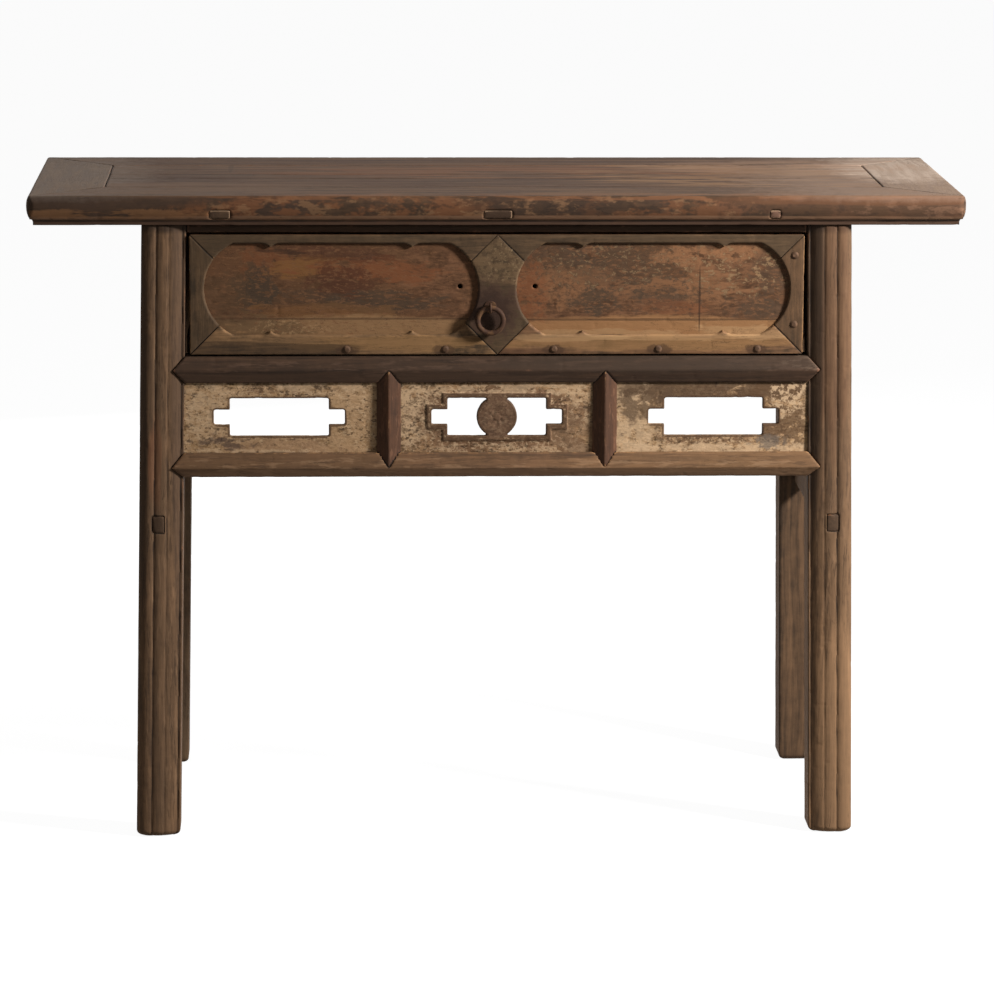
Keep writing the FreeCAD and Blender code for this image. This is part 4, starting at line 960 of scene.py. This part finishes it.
@dataclass
class Drawer(Joinery):
    """A long drawer with two sunk cartouches in a mitred frame."""

    body: Body = Body.DRAWER
    frame_wear: Wear = Wear(cell=1.2, passes=2, wave=0.2, chip=0.9, chip_width=10, keep=0.3)
    board_wear: Wear = Wear(cell=1.6, passes=1, wave=0.6, chip=0.5, dent=0.6, keep=0.3)
    box_wear: Wear = Wear(cell=2.6, passes=3, wave=0.4, keep=0.3)
    nail_wear: Wear = Wear(cell=0.4, passes=3, wave=0.05, chip=0.1, dent=0.1, keep=0.5)
    ring_wear: Wear = replace(nail_wear, cell=0.5)
    nails: tuple[float, ...] = (-201.0, -70.0, 75.5, 216.0, 349.0)
    face: float = -204.0
    deep: float = 40.0

    def frame_finishes(self) -> dict[str, OldElm]:
        """The finishes of the frame's members, by the member's name.

        Returns:
            The finishes.
        """
        spot = partial(front_patch, face=self.face, deep=self.deep)
        marks = tuple(spot("#3d291b", x, 667, 13, 6, 0.7, ragged=1.2, drawn=False) for x in self.nails)
        tan, cream, dirt = "#8d6840", "#a9845c", "#332519"
        return {
            "stile_left": FRAME_ELM,
            "stile_right": replace(FRAME_ELM, light="#664a32", aged="#58402b"),
            "top_left": FRAME_ELM,
            "top_right": FRAME_ELM,
            "bottom_left": replace(FRAME_ELM, light="#8d6a48", aged="#785a3d", stains=(
                spot(tan, -120, 676, 130, 9, 0.5, ragged=1.3),
                spot(dirt, -330, 666, 120, 9, 0.7, ragged=1.4), *marks)),
            # The cream lines along the right cartouche's lower edge are worn arris and a painted highlight, where that
            # upward edge catches the light.
            "bottom_right": replace(FRAME_ELM, light="#866144", aged="#755235", stains=(
                spot(tan, 215, 676, 170, 9, 0.5, ragged=1.3), spot(cream, 90, 684, 70, 4, 0.45, ragged=1.5),
                spot(cream, 250, 684, 110, 4, 0.4, ragged=1.5), spot(cream, 350, 688, 30, 7, 0.45, ragged=1.5),
                spot("#553826", 40, 664, 60, 4, 0.5, ragged=1.5), *marks)),
            "post": replace(FRAME_ELM, dark="#382b1c", light="#604932", stretch=5, mottle=1.0, stains=(
                spot("#3d291f", -9, 722, 34, 34, 0.7, ragged=1.2, drawn=False),
                spot("#281710", -9, 722, 22, 24, 0.6, ragged=1.2, drawn=False),
                spot("#6b543b", 4, 786, 34, 24, 0.5, ragged=1.6, drawn=False, fleck=9, cover=0.6),
                spot("#8f7656", 14, 786, 26, 22, 0.45, ragged=1.6, drawn=False, fleck=4, cover=0.2))),
        }

    def board_stains(self) -> tuple[Stain, ...]:
        """What is left of the paint, the dirt, and a painted highlight along the lower edge, on the sunk board.

        Returns:
            The stains, lowest first.
        """
        spot = partial(front_patch, face=self.face, deep=self.deep)
        dirt, lacquer, ochre, rust, bare, cream, seam = ("#3f3124", "#472818", "#7a522d", "#724428", "#8a5f3f",
                                                         "#a3815b", "#2b1b11")
        blot = partial(spot, ragged=1.8, soft=0.45, drawn=False, fleck=11, run=1.6, cover=0.85)
        streak = partial(spot, ragged=1.8, soft=0.45, fleck=9, run=4, cover=0.8)
        tiny = partial(spot, ragged=1.4, drawn=False, fleck=5, run=1.4)
        fine = partial(spot, ragged=0.8, fleck=3.4, run=2.5)
        return (
            blot(rust, -330, 786, 50, 16, 0.6), streak(ochre, -250, 779, 46, 13, 0.8),
            streak(rust, -165, 773, 70, 13, 0.85), blot(lacquer, -205, 757, 36, 17, 0.75),
            streak(lacquer, -200, 797, 70, 9, 0.6), blot(dirt, -323, 748, 22, 24, 0.85),
            streak(dirt, -150, 731, 60, 11, 0.75), streak(dirt, -262, 738, 50, 10, 0.5),
            streak(ochre, -240, 718, 80, 9, 0.4), blot("#553d28", -368, 755, 30, 46, 0.6),
            spot("#8a6846", -190, 696, 170, 14, 0.85, ragged=0.6), streak("#5d462f", -340, 698, 60, 13, 0.7),
            tiny(cream, -280, 697, 46, 9, 0.5, cover=0.35),
            blot(dirt, 85, 790, 54, 18, 0.5), blot(bare, 100, 752, 50, 22, 0.55),
            blot(rust, 40, 744, 24, 32, 0.7), blot(dirt, 165, 780, 66, 26, 0.45),
            blot(bare, 252, 794, 34, 11, 0.75), blot(bare, 318, 797, 30, 10, 0.7),
            blot(dirt, 366, 768, 20, 30, 0.5), streak(bare, 268, 746, 60, 17, 0.5),
            blot(dirt, 128, 731, 24, 14, 0.8), streak(dirt, 222, 735, 28, 11, 0.75),
            blot(dirt, 357, 722, 26, 12, 0.6), streak(rust, 240, 724, 40, 8, 0.5),
            tiny(dirt, 215, 778, 165, 32, 0.55, cover=0.42), tiny(dirt, 215, 738, 175, 24, 0.5, cover=0.3),
            fine(seam, 208, 757, 185, 60, 0.6, cover=0.2), fine(bare, 208, 757, 185, 60, 0.5, cover=0.25),
            fine(seam, -208, 757, 185, 60, 0.5, cover=0.2), fine(bare, -208, 757, 185, 60, 0.45, cover=0.25),
            spot(seam, -300, 800, 26, 1.8, 0.6, ragged=1.3), spot(seam, -275, 797, 18, 1.6, 0.6, ragged=1.3),
            tiny(cream, 318, 776, 62, 28, 0.45, cover=0.3), tiny(cream, 150, 783, 80, 26, 0.35, cover=0.22),
            # The cream lines at the lower edge, after the tan band, are worn wood and a painted highlight where that
            # upward edge catches the light.
            spot("#8f6641", 215, 694, 190, 15, 0.85, ragged=0.6), spot(cream, 120, 688, 100, 5, 0.45, ragged=1.5),
            spot(cream, 330, 690, 50, 8, 0.45, ragged=1.5),
            spot(seam, -180, 708.5, 170, 1.2, 0.5), spot(seam, 205, 707, 180, 1.3, 0.55),
            spot(seam, 271, 733, 1.1, 36, 0.7, ragged=0.3),
        )

    def build(self) -> None:
        """Makes and dresses the drawer."""
        for name, finish in self.frame_finishes().items():
            node = "drawer_post" if name == "post" else f"drawer_frame_{name}"
            grain = Grain.UPRIGHT if name.startswith("stile") else Grain.SIDEWAYS
            self.wear_down(node, finish, grain, self.frame_wear, Slot.DRAWER_FRAME)
        board = OldElm("elm_planed_paint_rubbed_off", dark="#422a18", light="#724e35", aged="#5a3d26", worn="#967049",
                       rub=0.8, figure=9, mottle=1.1, ring=12, stretch=4, stains=self.board_stains())
        self.wear_down("drawer_front_board", board, Grain.SIDEWAYS, self.board_wear, Slot.CARTOUCHE)
        for side in SIDES:
            self.wear_down(f"drawer_side_{side}", INNER_ELM, Grain.DEEP, self.box_wear, Slot.INNER)
        self.wear_down("drawer_back", INNER_ELM, Grain.SIDEWAYS, self.box_wear, Slot.INNER)
        self.dress_solid("drawer_bottom", INNER_ELM, Grain.SIDEWAYS)
        iron = ForgedIron().material()
        browned = ForgedIron("wrought_iron_nail_heads_browned", scale="#4a3627", rust="#705440").material()
        for node, finish, wear, body in (
                ("drawer_nails", browned, self.nail_wear, self.body), ("ring_plate", iron, self.nail_wear, self.body),
                ("ring_pin", iron, self.nail_wear, self.body), ("ring_pull", iron, self.ring_wear, Body.RING)):
            points = WornPiece(node, wear).dress(finish, Slot.IRON, body)
            self.seen.append(node)
            log.info("%s: %d points", node, points)


@dataclass(frozen=True)
class Lamp:
    """A round lamp that looks at the table. Angles are in degrees, lengths in metres, the power in watts."""

    name: str
    azimuth: float
    elevation: float
    distance: float
    size: float
    power: float
    glossy: bool


@dataclass
class Studio:
    """A pale floor, soft daylight from the right and in front, and the photograph's viewpoint."""

    sky: float = 0.15
    aim: float = 0.62
    lamps: tuple[Lamp, ...] = (
        Lamp("window", azimuth=60, elevation=26, distance=2.3, size=0.34, power=94, glossy=True),
        Lamp("wall_behind", azimuth=197, elevation=10, distance=3, size=1.2, power=34, glossy=False))
    floor_size: float = 30.0
    floor_glow: float = 0.93
    camera_place: tuple[float, float, float] = (-0.2360, -5.9919, 1.6052)
    yaw: float = 0.0409
    pitch: float = 0.1943
    roll: float = 0.0050
    lens: float = 158.707
    sensor: float = 36.0

    def white_for_eye(self, tree: Tree) -> Socket:
        """One for rays that the eye follows: straight, mirrored or through glass.

        Args:
            tree: The node tree.

        Returns:
            The socket with one or zero.
        """
        path = add(tree, "LightPath").outputs
        seen = reckon(tree, "MAXIMUM", path["Is Camera Ray"], path["Is Glossy Ray"])
        return reckon(tree, "MAXIMUM", seen, path["Is Transmission Ray"])

    def light(self) -> None:
        """Hangs the lamps and lights the room."""
        world = bpy.data.worlds.new("studio")
        bpy.context.scene.world = world
        world.use_nodes = True
        world.node_tree.nodes.clear()
        tree = world.node_tree
        strength = span(tree, self.white_for_eye(tree), 0.0, 1.0, least=self.sky)
        glow = add(tree, "Background", {"Color": linear("#ffffff"), "Strength": strength})
        add(tree, "OutputWorld", {"Surface": glow.outputs[0]})
        for lamp in self.lamps:
            azimuth, elevation = math.radians(lamp.azimuth), math.radians(lamp.elevation)
            back = Vector((math.sin(azimuth) * math.cos(elevation), -math.cos(azimuth) * math.cos(elevation),
                           math.sin(elevation)))
            data = bpy.data.lights.new(lamp.name, "AREA")
            data.shape = "DISK"
            data.size = lamp.size
            data.energy = lamp.power
            holder = bpy.data.objects.new(lamp.name, data)
            holder.location = Vector((0.0, 0.0, self.aim)) + back * lamp.distance
            holder.rotation_euler = back.to_track_quat("Z", "Y").to_euler()
            holder.visible_camera = False
            holder.visible_glossy = lamp.glossy
            bpy.context.scene.collection.objects.link(holder)

    def lay_floor(self) -> None:
        """Lays the pale floor, which keeps the table's shadow."""
        half = self.floor_size / 2
        mesh = bpy.data.meshes.new("floor")
        mesh.from_pydata([(-half, -half, 0), (half, -half, 0), (half, half, 0), (-half, half, 0)], [], [(0, 1, 2, 3)])
        floor = bpy.data.objects.new("floor", mesh)
        bpy.context.scene.collection.objects.link(floor)
        # Matt white paper: it scatters all light alike, so the shadow on it is soft and has no gloss.
        material, tree = new_tree("paper_matt_white")
        matt = add(tree, "BsdfDiffuse", {"Color": linear("#808080")})
        strength = reckon(tree, "MULTIPLY", self.white_for_eye(tree), self.floor_glow)
        glow = add(tree, "Emission", {"Color": linear("#ffffff"), "Strength": strength})
        both = add(tree, "AddShader", {0: matt.outputs[0], 1: glow.outputs[0]})
        add(tree, "OutputMaterial", {"Surface": both.outputs[0]})
        mesh.materials.append(material)

    def place_camera(self) -> None:
        """Sets the camera where the photographer stood."""
        data = bpy.data.cameras.new("camera")
        data.lens = self.lens
        data.sensor_width = self.sensor
        data.sensor_fit = "HORIZONTAL"
        camera = bpy.data.objects.new("camera", data)
        bpy.context.scene.collection.objects.link(camera)
        ahead = Vector((math.sin(self.yaw) * math.cos(self.pitch), math.cos(self.yaw) * math.cos(self.pitch),
                        -math.sin(self.pitch)))
        right = Vector((math.cos(self.yaw), -math.sin(self.yaw), 0))
        up = right.cross(ahead)
        turned = math.cos(self.roll) * right + math.sin(self.roll) * up
        upright = math.cos(self.roll) * up - math.sin(self.roll) * right
        turn = Matrix((turned, upright, -ahead)).transposed().to_4x4()
        camera.matrix_world = Matrix.Translation(self.camera_place) @ turn
        bpy.context.scene.camera = camera
        bpy.context.scene.view_settings.view_transform = "Standard"

    def build(self) -> None:
        """Sets up the studio."""
        self.light()
        self.lay_floor()
        self.place_camera()


def main() -> None:
    """Builds the dressed table, one assembly after the other."""
    logging.basicConfig(level=logging.INFO, format="%(message)s")
    for assembly in (Tabletop(), Legs(), FrontFrame(), PiercedPanels(), Case(), Drawer()):
        assembly.build()
        log.info("%s: %d pieces", type(assembly).__name__, len(assembly.seen))
    Studio().build()


if __name__ == "__main__":
    main()
